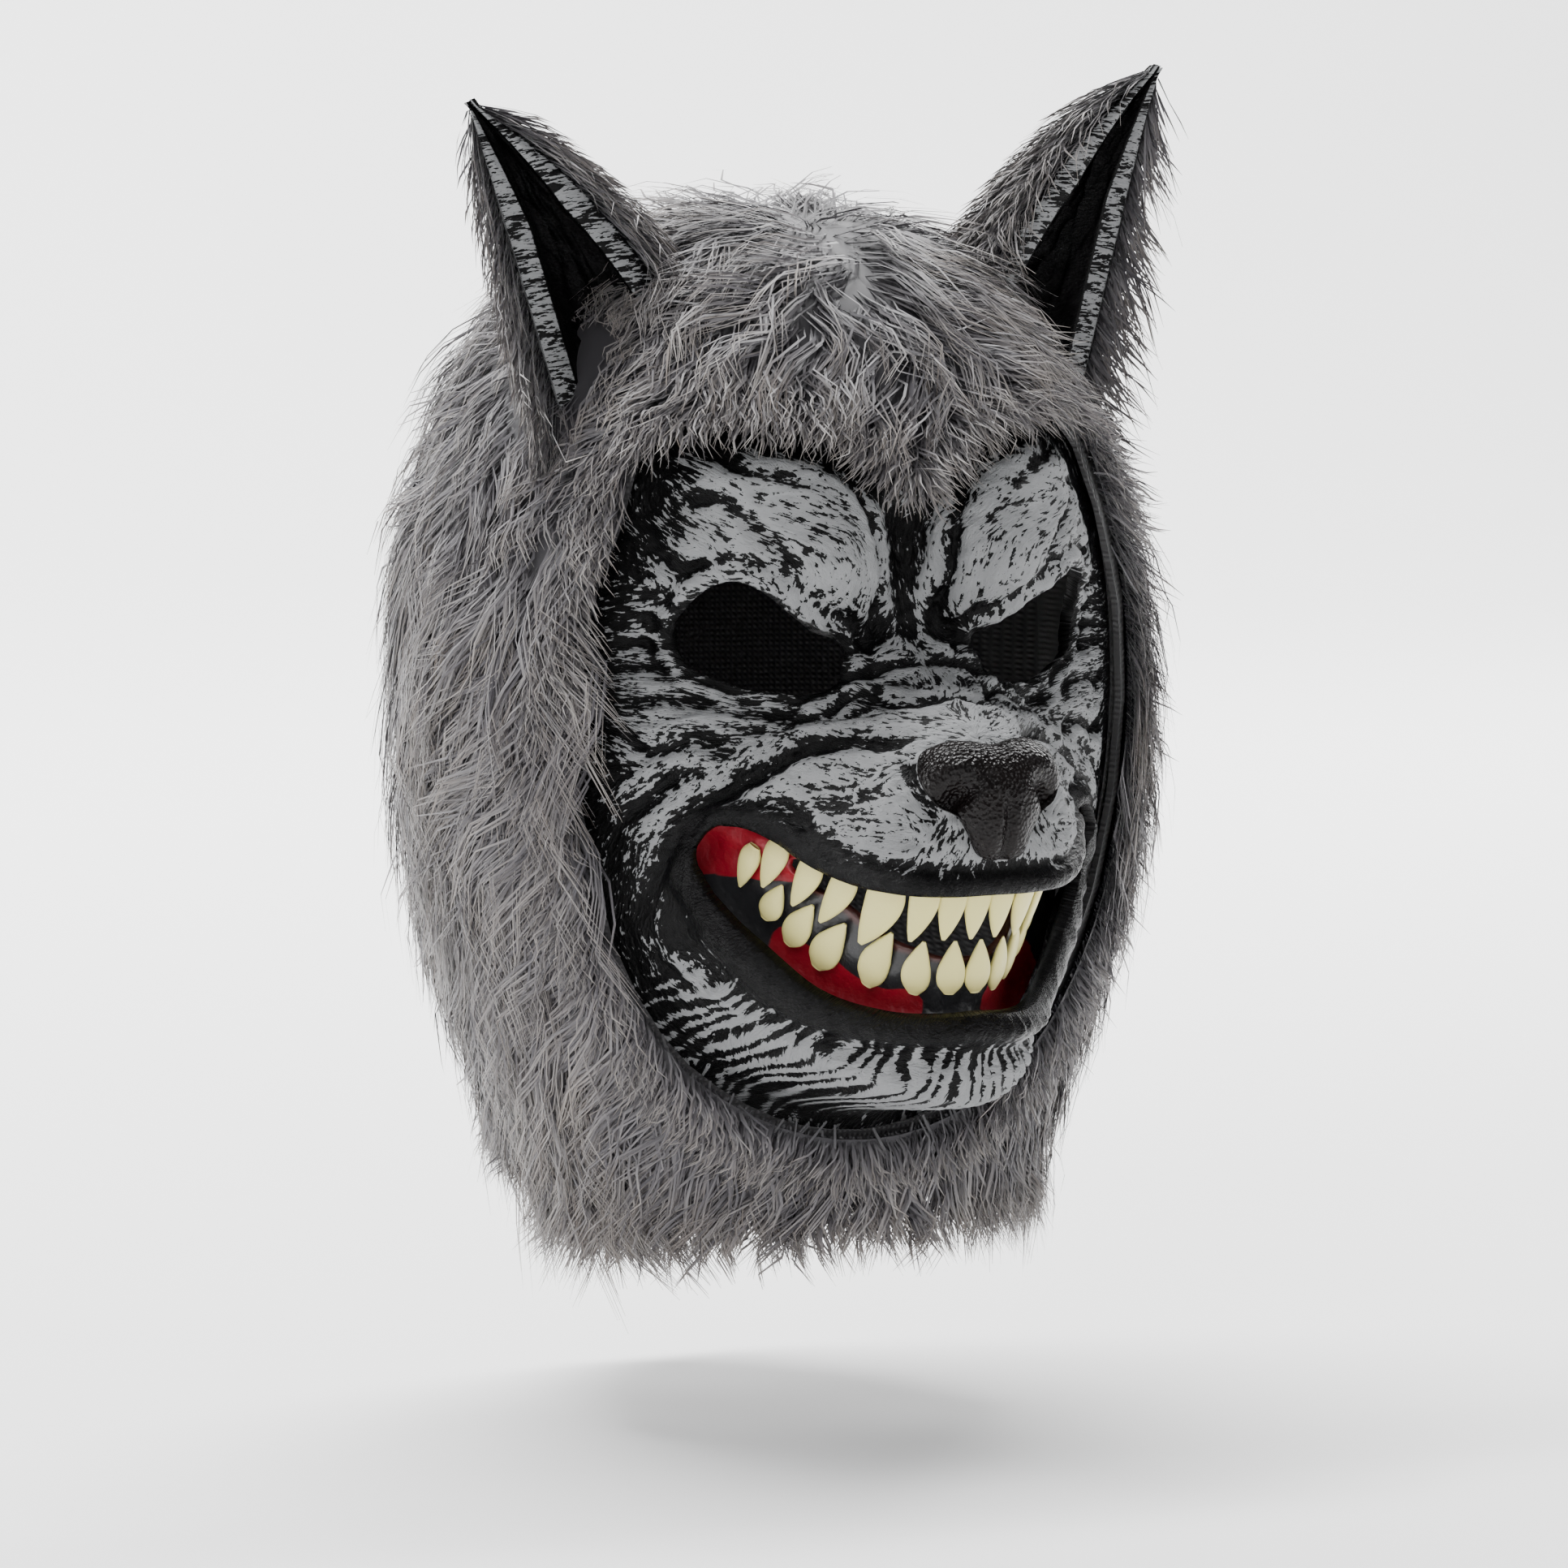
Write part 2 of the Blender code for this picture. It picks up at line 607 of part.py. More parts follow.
def grow_locks(obj, wanted, rise, seed):
    """Locks on the faces of obj that wanted(face) picks. Each is part of the same solid."""
    random = np.random.default_rng(seed)
    bm = bmesh.new()
    bm.from_mesh(obj.data)
    picked = [f for f in bm.faces if len(f.verts) == 4 and wanted(f)]
    for face in picked:
        high = rise * random.uniform(0.75, 1.0)
        long = lock_length(face) * random.uniform(0.7, 1.0)
        grow_lock(bm, face, high, long, random.uniform(-0.25, 0.25))
    bm.to_mesh(obj.data)
    bm.free()


def make_pile_base(opening):
    """The base layer of the pile, on the hood."""
    base = HOOD_WALL + PILE_GAP
    fur = shell_of_form("hood_fur", base, base + PILE_BASE, "fur")
    cut(fur, opening)
    apply_modifiers(fur)
    return fur


def make_locks(fur, ears):
    """Rows of locks drawn out of the pile's base layer, clear of the ears."""
    trees = [surface_tree(ear) for ear in ears]
    cell = math.pi * HEAD_HALF_WIDTH / HOOD_COLUMNS
    middle = np.array((0, 0, -0.5 * HOOD_DROP))

    def wanted(face):
        centre = np.array(face.calc_center_median())
        outward = np.dot(face.normal, centre - middle) > 0 and abs(face.normal.z) < 0.999
        if not outward or face.calc_area() < cell * cell:
            return False
        corners = np.array([v.co for v in face.verts])
        if centre[1] < 0 and (depth_inside(corners[:, 0], corners[:, 2], OPENING) > 0.0).any():
            return False
        run = np.array(nap(face)) * lock_length(face)
        rise = np.array(face.normal) * LOCK_RISE
        path = [centre + rise * min(2 * t, 1) + run * t for t in (0.0, 0.35, 0.7, 1.0)]
        if any(over_ear(point) for point in path):
            return False
        nearest = min(tree.find_nearest(point)[3] for tree in trees for point in path)
        return nearest > LOCK_CLEARANCE

    grow_locks(fur, wanted, LOCK_RISE, 4)


def make_face():
    """The moulded face: sculpted and folded outside, plain inside, with eye holes and a mouth."""
    x, z = face_grid()
    plain = on_face(x, z)
    normal = face_normal(x, z)
    outer = plain + normal * (fold_height(plain) * sculpt_share(x, z))[..., None]
    inner = plain - normal * FACE_WALL
    rings = [np.concatenate([a, b[::-1]]) for a, b in zip(outer, inner)]
    face = add_object("face_shell", loft(rings, "strip", "strip"), "face")
    eye = face_point(even_loop(np.array(EYE_OUTLINE), 18))
    cut(face, prism("eye_cutter_r", eye, CUT_FRONT, HOLE_CUT_BACK))
    cut(face, prism("eye_cutter_l", (eye * (-1, 1))[::-1], CUT_FRONT, HOLE_CUT_BACK))
    cut(face, prism("mouth_cutter", MOUTH, CUT_FRONT, HOLE_CUT_BACK))
    return face


def plate_depth(x, z):
    """How far the gum plate's front lies behind the face: deep behind the mouth, seated round it."""
    away = np.maximum(-depth_inside(x, z, MOUTH), 0.0)
    sunk = 1.0 - smooth((away - 0.35 * PLATE_MARGIN) / (0.5 * PLATE_MARGIN))
    half = np.abs(x) / FACE_HALF_WIDTH
    drop = (FACE_TOP - z) / FACE_HEIGHT
    bite = 0.690 - 0.24 * half**2
    lower = smooth((drop - bite + 0.015) / 0.030)
    return FACE_WALL + PLATE_GAP + sunk * (UPPER_RECESS + lower * (LOWER_RECESS - UPPER_RECESS))


def on_plate(x, z, behind=0.0):
    """Points on the gum plate's front, or behind it by a distance."""
    depth = plate_depth(x, z) + behind
    return on_face(x, z) - face_normal(x, z, 0.004) * depth[..., None]


def above_plate(wanted, rise):
    """Points that stand a rise off the gum plate and show at the wanted x and z, with their normals."""
    foot = wanted.copy()
    for _ in range(8):
        normals = face_normal(foot[:, 0], foot[:, 1], 0.004)
        points = on_plate(foot[:, 0], foot[:, 1]) + normals * rise
        foot = foot + (wanted - points[:, (0, 2)])
    return points, normals


def make_gum_plate():
    """The gums: a curved plate behind the mouth, cut by the gap between the jaws."""
    count = PLATE_POINTS
    mouth = face_point(closed_outline(MOUTH_OUTLINE, count))
    slot = face_point(closed_outline(SLOT_OUTLINE, count))
    tangent = np.roll(mouth, -1, 0) - np.roll(mouth, 1, 0)
    out = np.stack([-tangent[:, 1], tangent[:, 0]], 1)
    out /= np.linalg.norm(out, axis=1, keepdims=True)
    rows = [mouth + out * PLATE_MARGIN * share for share in (0.95, 0.5, 0.15)] + [slot]
    front = [on_plate(row[:, 0], row[:, 1]) for row in rows]
    back = [on_plate(row[:, 0], row[:, 1], PLATE_WALL) for row in rows]
    section = front + back[::-1]
    rings = [np.array([row[j] for row in section]) for j in range(count)]
    plate = loft(rings, around=True)
    bmesh.ops.triangulate(plate, faces=plate.faces)
    return add_object("gum_plate", plate, "gum")


def make_tooth(plate, name, side, place, root, tip, width, lean):
    """A flat teardrop tooth, seated on the gum plate at its root."""
    ends = face_point(((place, root), (place + lean, tip))) * (side, 1)
    (start, end), normals = above_plate(ends, TOOTH_GAP + 0.5 * TOOTH_THICKNESS)
    axis = end - start
    normal = normals.mean(0)
    normal -= axis * (normal @ axis) / (axis @ axis)
    normal /= np.linalg.norm(normal)
    across = np.cross(normal, axis / np.linalg.norm(axis))
    turn = np.arange(TOOTH_SIDES) * 2 * math.pi / TOOTH_SIDES
    rings = []
    for share, wide, thick in TOOTH_SECTIONS:
        ring = (
            start
            + axis * share
            + np.outer(np.cos(turn), across) * wide * width * FACE_HALF_WIDTH / 2
            + np.outer(np.sin(turn), normal) * thick * TOOTH_THICKNESS / 2
        )
        rings.append(ring)
    tooth = add_object(name, loft(rings, start, end), "tooth")
    seat_on([tooth], plate, -normals[0], SEAT_GAP)


def make_teeth(plate):
    for row, table in (("upper", UPPER_TEETH), ("lower", LOWER_TEETH)):
        for number, sizes in enumerate(table, 1):
            if sizes[0] == 0.0:
                make_tooth(plate, f"tooth_{row}_middle", 1, *sizes)
                continue
            make_tooth(plate, f"tooth_{row}_r{number}", 1, *sizes)
            make_tooth(plate, f"tooth_{row}_l{number}", -1, *sizes)


def make_nose():
    """The nose pad, seated on the front of the muzzle."""
    outline = closed_outline(NOSE_OUTLINE, NOSE_POINTS) * (NOSE_HALF_WIDTH, -NOSE_HEIGHT) + (0, NOSE_TOP)
    middle = outline.mean(0)
    back_rows, front_rows = [], []
    for share in (0.35, 0.70, 0.92, 1.0):
        row = middle + (outline - middle) * share
        seat = on_face(row[:, 0], row[:, 1])
        normal = face_normal(row[:, 0], row[:, 1], 0.005)
        lift = SEAT_GAP + FOLD_DEPTH * 0.3
        rise = NOSE_RISE * math.sqrt(1.0 - (share * NOSE_EDGE_SHARE) ** 2)
        back_rows.append(seat + normal * lift)
        front_rows.append(seat + normal * (lift + rise))
    seat = on_face(*middle)
    normal = face_normal(*middle, 0.005)
    poles = (seat + normal * lift, seat + normal * (lift + NOSE_RISE))
    return add_object("nose", loft(back_rows + front_rows[::-1], *poles), "nose")


def ear_frame(t, side):
    """Inner and outer rim points, their middle and the way to the back, at a share of the ear's height."""
    flip = np.array((side, 1, 1))
    top = EAR_TIP - (EAR_DROOP if side < 0 else 0.0)
    inner = EAR_INNER_BASE + (top - EAR_INNER_BASE) * t
    outer = EAR_OUTER_BASE + (top - EAR_OUTER_BASE) * t
    bow = 0.16 * np.linalg.norm(EAR_OUTER_BASE - EAR_INNER_BASE) * 4 * max(t, 0) * (1 - t)
    inner = inner - np.array((0.8, 0.1, -0.6)) * bow
    wide = np.maximum(np.linalg.norm(outer - inner), 0.0022)
    middle = (inner + outer) / 2
    across = (outer - inner) / np.linalg.norm(outer - inner) if t < 0.999 else np.array((0.9, 0.2, -0.4))
    up = top - (EAR_INNER_BASE + EAR_OUTER_BASE) / 2
    back = np.cross(up, across)
    back /= np.linalg.norm(back)
    back = back + np.array((-0.45, 0, 0))
    back /= np.linalg.norm(back)
    return middle * flip, across * flip, back * flip, wide / 2


def ear_arc(t, side, grow, count):
    """Points round the back of the ear, from its inner rim to its outer rim, grown by a distance."""
    middle, across, back, half = ear_frame(t, side)
    depth = EAR_DEPTH * max(1.0 - t, 0.0) ** 0.75 + 0.001
    turn = np.linspace(math.pi, 0, count)
    half = max(half + grow, 0.0006)
    deep = max(depth + grow, 0.0004)
    return middle + np.outer(np.cos(turn), across) * half + np.outer(np.sin(turn), back) * deep


def make_ear(side, letter, seat):
    """The moulded ear cup: a flat rim round a hollow, closed at the back and the tip."""
    rings = []
    for t in EAR_LEVELS:
        half = ear_frame(t, side)[3]
        outer = ear_arc(t, side, 0.0, EAR_POINTS)
        inner = ear_arc(t, side, -min(EAR_RIM, 0.6 * half), EAR_POINTS)
        rings.append(np.concatenate([outer, inner[::-1]]))
    ear = add_object(f"ear_{letter}", loft(rings), "ear")
    cut(ear, seat)
    return ear


def make_ear_fur(side, letter, seat):
    """The pile on the back of an ear, from rim to rim, with locks drawn out of it."""
    rings = []
    for t in EAR_LEVELS[:-1]:
        inner = ear_arc(t, side, EAR_PILE_GAP, EAR_POINTS)
        outer = ear_arc(t, side, EAR_PILE_GAP + EAR_PILE * (1.0 - 0.5 * max(t, 0)), EAR_POINTS)
        rings.append(np.concatenate([outer, inner[::-1]]))
    fur = add_object(f"ear_fur_{letter}", loft(rings), "fur")
    cut(fur, seat)
    return fur


def clear_scene():
    for obj in list(bpy.data.objects):
        bpy.data.objects.remove(obj, do_unlink=True)


def main():
    clear_scene()
    opening = prism("face_opening_cutter", OPENING, CUT_FRONT, OPENING_CUT_BACK)
    make_hood(opening)
    base = make_pile_base(opening)
    seat = form_cutter("ear_seat_cutter", HOOD_WALL + PILE_GAP + PILE_BASE + EAR_SEAT_GAP)
    ears = []
    for side, letter in ((1, "r"), (-1, "l")):
        pair = [make_ear(side, letter, seat), make_ear_fur(side, letter, seat)]
        down = (EAR_INNER_BASE + EAR_OUTER_BASE) / 2 - EAR_TIP
        seat_on(pair, base, down * (side, 1, 1), SEAT_GAP)
        ears += pair
    make_locks(base, ears)
    make_face()
    make_teeth(make_gum_plate())
    make_nose()


main()
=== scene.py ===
"""Looks of the werewolf mask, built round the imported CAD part.

Metres, +Z up. The face looks along -Y and +X is the viewer's right. The first part repeats the
named sizes and the form functions of the CAD source, so that each piece lies where its solid is.
"""

import math

import bpy
import numpy as np
from mathutils import Matrix, Vector


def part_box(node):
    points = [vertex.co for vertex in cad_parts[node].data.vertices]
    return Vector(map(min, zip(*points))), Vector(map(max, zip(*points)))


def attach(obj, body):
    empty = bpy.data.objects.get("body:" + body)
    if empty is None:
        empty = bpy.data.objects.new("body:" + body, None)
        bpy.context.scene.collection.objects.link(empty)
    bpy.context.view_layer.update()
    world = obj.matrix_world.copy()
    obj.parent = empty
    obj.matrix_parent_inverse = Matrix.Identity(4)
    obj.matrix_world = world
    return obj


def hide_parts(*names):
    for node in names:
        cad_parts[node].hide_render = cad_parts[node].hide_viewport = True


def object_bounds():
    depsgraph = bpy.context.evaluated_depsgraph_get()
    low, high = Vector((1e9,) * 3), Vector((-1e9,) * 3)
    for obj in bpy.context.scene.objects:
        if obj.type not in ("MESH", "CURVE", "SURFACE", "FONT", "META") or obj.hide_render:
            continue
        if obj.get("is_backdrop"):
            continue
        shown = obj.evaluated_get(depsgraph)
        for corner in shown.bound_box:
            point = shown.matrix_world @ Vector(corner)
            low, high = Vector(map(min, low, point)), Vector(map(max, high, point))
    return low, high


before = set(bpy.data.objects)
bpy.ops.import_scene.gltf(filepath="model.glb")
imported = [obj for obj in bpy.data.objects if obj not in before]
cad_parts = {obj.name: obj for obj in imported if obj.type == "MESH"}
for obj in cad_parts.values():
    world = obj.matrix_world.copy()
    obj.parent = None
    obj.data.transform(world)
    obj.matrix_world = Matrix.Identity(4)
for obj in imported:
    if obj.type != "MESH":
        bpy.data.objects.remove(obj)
CAD_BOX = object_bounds()

# Head form: the inside of the hood.
HEAD_HALF_WIDTH = 0.097
HEAD_FRONT = 0.098
HEAD_BACK = 0.104
HOOD_DROP = 0.262
HEM_FALL = 0.008
HOOD_WALL = 0.002
SEAT_GAP = 0.0004
PILE_GAP = 0.0009

# Face.
FACE_HALF_WIDTH = 0.084
FACE_TOP = -0.040
FACE_HEIGHT = 0.218
MUZZLE_REACH = 0.145
FACE_WALL = 0.0035
FLANGE_GAP = 0.0024
FLANGE_START = 0.0035
EDGE_BLEND = 0.013

# Mouth, teeth and nose.
PLATE_WALL = 0.002
PLATE_GAP = 0.0026
UPPER_RECESS = 0.0040
LOWER_RECESS = 0.0068
PLATE_MARGIN = 0.010
NOSE_RISE = 0.009
NOSE_HALF_WIDTH = 0.0180
NOSE_HEIGHT = 0.0285
NOSE_TOP = -0.1385
NOSE_EDGE_SHARE = 0.93

# Ears.
EAR_LEVELS = (-0.35, 0.995)
EAR_RIM = 0.0075
EAR_DEPTH = 0.026
EAR_PILE = 0.008
EAR_PILE_GAP = 0.0005
EAR_INNER_BASE = np.array((0.043, -0.042, -0.031))
EAR_OUTER_BASE = np.array((0.081, -0.036, -0.046))
EAR_TIP = np.array((0.109, -0.030, 0.044))
EAR_DROOP = np.array((0.0055, 0.000, 0.0065))

# Sections of the head form, each a share of its own named size.
HEAD_SECTIONS = (
    # drop, half width, front, back
    (0.000, 0.000, 0.000, 0.000),
    (0.015, 0.280, 0.270, 0.320),
    (0.052, 0.520, 0.520, 0.570),
    (0.114, 0.720, 0.720, 0.770),
    (0.206, 0.870, 0.880, 0.900),
    (0.320, 0.960, 0.965, 0.975),
    (0.440, 1.000, 1.000, 1.000),
    (0.580, 0.990, 0.970, 1.000),
    (0.720, 0.930, 0.870, 0.980),
    (0.840, 0.830, 0.730, 0.960),
    (0.930, 0.730, 0.580, 0.950),
    (1.000, 0.670, 0.480, 0.945),
    (1.080, 0.640, 0.440, 0.940),
)

# Sections of the face. The drop is a share of FACE_HEIGHT, the edge of FACE_HALF_WIDTH, and
# the reach forward of MUZZLE_REACH, at eight even steps from the middle to the half width.
FACE_SECTIONS = (
    # drop, edge, reach at 0/7 ... 7/7 of the half width
    (0.000, 0.74, (0.520, 0.515, 0.500, 0.475, 0.430, 0.370, 0.280, 0.130)),
    (0.070, 0.88, (0.555, 0.590, 0.612, 0.598, 0.550, 0.470, 0.355, 0.190)),
    (0.160, 0.97, (0.570, 0.650, 0.690, 0.675, 0.615, 0.520, 0.400, 0.255)),
    (0.252, 1.02, (0.585, 0.668, 0.705, 0.680, 0.620, 0.535, 0.420, 0.280)),
    (0.330, 1.06, (0.633, 0.620, 0.602, 0.567, 0.520, 0.467, 0.400, 0.295)),
    (0.376, 1.07, (0.755, 0.712, 0.630, 0.580, 0.540, 0.493, 0.420, 0.313)),
    (0.431, 1.07, (0.915, 0.885, 0.775, 0.640, 0.573, 0.513, 0.433, 0.320)),
    (0.495, 1.06, (0.980, 0.965, 0.900, 0.735, 0.607, 0.527, 0.433, 0.320)),
    (0.560, 1.05, (0.985, 0.978, 0.933, 0.805, 0.645, 0.533, 0.427, 0.307)),
    (0.624, 1.03, (0.978, 0.972, 0.938, 0.830, 0.653, 0.520, 0.407, 0.287)),
    (0.711, 0.98, (0.940, 0.925, 0.865, 0.740, 0.600, 0.480, 0.373, 0.253)),
    (0.789, 0.91, (0.905, 0.885, 0.800, 0.667, 0.547, 0.440, 0.333, 0.200)),
    (0.872, 0.80, (0.880, 0.853, 0.753, 0.607, 0.487, 0.380, 0.273, 0.133)),
    (0.936, 0.68, (0.813, 0.780, 0.667, 0.520, 0.407, 0.307, 0.207, 0.067)),
    (0.972, 0.58, (0.693, 0.660, 0.553, 0.420, 0.327, 0.240, 0.140, 0.000)),
    (1.000, 0.46, (0.533, 0.507, 0.427, 0.333, 0.253, 0.167, 0.067, 0.000)),
)

# Half of each opening's outline, by half width and drop.
EYE_OUTLINE = (
    (0.224, 0.342), (0.330, 0.314), (0.465, 0.279), (0.545, 0.256), (0.610, 0.248),
    (0.685, 0.268), (0.720, 0.312), (0.695, 0.350), (0.610, 0.374), (0.505, 0.388), (0.373, 0.392),
    (0.262, 0.374),
)
MOUTH_OUTLINE = (
    (0.000, 0.629), (0.160, 0.629), (0.310, 0.624), (0.400, 0.615), (0.470, 0.598),
    (0.530, 0.572), (0.600, 0.554), (0.665, 0.556), (0.706, 0.582), (0.692, 0.622),
    (0.625, 0.668), (0.540, 0.710), (0.420, 0.760), (0.280, 0.782), (0.140, 0.784), (0.000, 0.782),
)
SLOT_OUTLINE = (
    (0.000, 0.640), (0.120, 0.640), (0.240, 0.637), (0.330, 0.628), (0.400, 0.612),
    (0.460, 0.597), (0.520, 0.590), (0.560, 0.598), (0.550, 0.622), (0.490, 0.655),
    (0.420, 0.685), (0.320, 0.716), (0.210, 0.730), (0.100, 0.734), (0.000, 0.734),
)
HOOD_OUTLINE = (
    (0.000, 0.128), (0.070, 0.112), (0.150, 0.078), (0.280, 0.056), (0.420, 0.048),
    (0.580, 0.052), (0.710, 0.068), (0.800, 0.112), (0.868, 0.195), (0.950, 0.290),
    (0.988, 0.400), (0.965, 0.540), (0.890, 0.675), (0.775, 0.780), (0.640, 0.855),
    (0.450, 0.915), (0.230, 0.955), (0.000, 0.968),
)
NOSE_OUTLINE = (
    # half width as a share of NOSE_HALF_WIDTH, drop as a share of NOSE_HEIGHT
    (0.00, 0.03), (0.30, 0.00), (0.65, 0.02), (0.92, 0.14), (1.00, 0.32),
    (0.86, 0.50), (0.60, 0.60), (0.46, 0.76), (0.34, 0.94), (0.00, 1.00),
)

def smooth(t):
    """0 to 1 with level ends."""
    t = np.clip(t, 0.0, 1.0)
    return t * t * (3.0 - 2.0 * t)


def curve_through(knots, values, at):
    """A smooth curve through values at knots, read at each of at."""
    knots, values, at = (np.asarray(a, float) for a in (knots, values, at))
    slopes = np.gradient(values, knots, axis=0)
    i = np.clip(np.searchsorted(knots, at) - 1, 0, len(knots) - 2)
    step = knots[i + 1] - knots[i]
    t = np.clip((at - knots[i]) / step, 0.0, 1.0)
    shape = t.shape + (1,) * (values.ndim - 1)
    t, step = t.reshape(shape), step.reshape(shape)
    start, end = values[i], values[i + 1]
    return (
        (2 * t**3 - 3 * t**2 + 1) * start
        + (t**3 - 2 * t**2 + t) * step * slopes[i]
        + (3 * t**2 - 2 * t**3) * end
        + (t**3 - t**2) * step * slopes[i + 1]
    )


def closed_outline(half, count):
    """Points evenly along the smooth closed outline whose +X half runs from top to bottom."""
    half = np.asarray(half, float)
    left = half[-2:0:-1] * (-1, 1)
    return even_loop(np.vstack([half, left]), count)


def even_loop(points, count):
    """count points evenly along the smooth closed curve through points."""
    loop = np.vstack([points[-3:], points, points[:3]])
    steps = np.linalg.norm(np.diff(loop, axis=0), axis=1)
    along = np.concatenate([[0.0], np.cumsum(steps)])
    dense = curve_through(along, loop, np.linspace(along[3], along[-3], 40 * count))
    length = np.concatenate([[0.0], np.cumsum(np.linalg.norm(np.diff(dense, axis=0), axis=1))])
    at = np.linspace(0.0, length[-1], count, endpoint=False)
    return np.stack([np.interp(at, length, dense[:, k]) for k in range(dense.shape[1])], 1)


def face_point(share):
    """(x, z) in metres of outline points given as shares of the face's half width and height."""
    share = np.asarray(share, float)
    return np.stack([share[..., 0] * FACE_HALF_WIDTH, FACE_TOP - share[..., 1] * FACE_HEIGHT], -1)


def depth_inside(x, z, outline):
    """Distance from a closed outline in x and z, above 0 inside it and below 0 outside."""
    point = np.stack(np.broadcast_arrays(x, z), -1)[..., None, :]
    start, end = outline, np.roll(outline, -1, 0)
    way = end - start
    t = np.clip(((point - start) * way).sum(-1) / (way**2).sum(-1), 0.0, 1.0)
    away = np.linalg.norm(point - start - t[..., None] * way, axis=-1).min(-1)
    spans = (start[:, 1] > point[..., 1]) != (end[:, 1] > point[..., 1])
    rise = np.where(way[:, 1] == 0, 1.0, way[:, 1])
    meets = start[:, 0] + way[:, 0] * (point[..., 1] - start[:, 1]) / rise
    inside = (spans & (point[..., 0] < meets)).sum(-1) % 2 == 1
    return np.where(inside, away, -away)


# Head form


def dense_sections():
    """Drop, half width, front and back of the head form at many heights."""
    rows = np.array(HEAD_SECTIONS)
    index = np.linspace(0, len(rows) - 1, 40 * len(rows))
    rows = curve_through(np.arange(len(rows)), rows, index)
    return rows * (HOOD_DROP, HEAD_HALF_WIDTH, HEAD_FRONT, HEAD_BACK)


SECTIONS = dense_sections()


def head_size(z, column):
    return np.interp(-np.asarray(z, float), SECTIONS[:, 0], SECTIONS[:, column])


def head_reach(x, z, shrink=0.0):
    """How far forward the head form reaches at x and z, after shrinking it all round."""
    half, front = head_size(z, 1) - shrink, head_size(z, 2) - shrink
    return front * np.sqrt(np.clip(1.0 - (x / half) ** 2, 0.0, 1.0))


# Face surface

OPENING = face_point(closed_outline(HOOD_OUTLINE, 48))
MOUTH = face_point(closed_outline(MOUTH_OUTLINE, 36))


def face_edge(z):
    """Half width of the face at height z."""
    drop = (FACE_TOP - np.asarray(z, float)) / FACE_HEIGHT
    rows = [r[0] for r in FACE_SECTIONS]
    return FACE_HALF_WIDTH * curve_through(rows, [r[1] for r in FACE_SECTIONS], drop)


def sculpted_reach(x, z):
    """How far forward the sculpted face reaches at x and z, from its sections."""
    x, z = np.broadcast_arrays(np.abs(np.asarray(x, float)), np.asarray(z, float))
    drop = (FACE_TOP - z) / FACE_HEIGHT
    rows = np.array([r[2] for r in FACE_SECTIONS])
    across = curve_through([r[0] for r in FACE_SECTIONS], rows, drop)
    columns = rows.shape[1]
    slopes = np.gradient(across, axis=-1)
    slopes[..., 0] = 0.0
    place = np.clip(x / FACE_HALF_WIDTH * (columns - 1), 0, columns - 1.001)
    i = place.astype(int)
    t = place - i

    def pick(values, k):
        return np.take_along_axis(values, k[..., None], -1)[..., 0]

    return MUZZLE_REACH * (
        (2 * t**3 - 3 * t**2 + 1) * pick(across, i)
        + (t**3 - 2 * t**2 + t) * pick(slopes, i)
        + (3 * t**2 - 2 * t**3) * pick(across, i + 1)
        + (t**3 - t**2) * pick(slopes, i + 1)
    )


def sculpt_share(x, z):
    """0 on the flange under the hood's edge, 1 over most of the face."""
    return smooth((depth_inside(x, z, OPENING) - FLANGE_START) / EDGE_BLEND)


def face_reach(x, z):
    """The sculpted face, let down onto the head form along its edge so that the hood covers it."""
    form = head_reach(x, z, FLANGE_GAP)
    return form + sculpt_share(x, z) * (sculpted_reach(x, z) - form)


def on_face(x, z):
    x, z = np.broadcast_arrays(np.asarray(x, float), np.asarray(z, float))
    return np.stack([x, -face_reach(x, z), z], -1)


def face_normal(x, z, step=0.0015):
    """Outward unit normals of the face, without its folds."""
    across = on_face(x + step, z) - on_face(x - step, z)
    up = on_face(x, z + step) - on_face(x, z - step)
    normal = np.cross(across, up)
    return normal / np.linalg.norm(normal, axis=-1, keepdims=True)


def plate_depth(x, z):
    """How far the gum plate's front lies behind the face: deep behind the mouth, seated round it."""
    away = np.maximum(-depth_inside(x, z, MOUTH), 0.0)
    sunk = 1.0 - smooth((away - 0.35 * PLATE_MARGIN) / (0.5 * PLATE_MARGIN))
    half = np.abs(x) / FACE_HALF_WIDTH
    drop = (FACE_TOP - z) / FACE_HEIGHT
    bite = 0.690 - 0.24 * half**2
    lower = smooth((drop - bite + 0.015) / 0.030)
    return FACE_WALL + PLATE_GAP + sunk * (UPPER_RECESS + lower * (LOWER_RECESS - UPPER_RECESS))


def on_plate(x, z, behind=0.0):
    """Points on the gum plate's front, or behind it by a distance."""
    depth = plate_depth(x, z) + behind
    return on_face(x, z) - face_normal(x, z, 0.004) * depth[..., None]


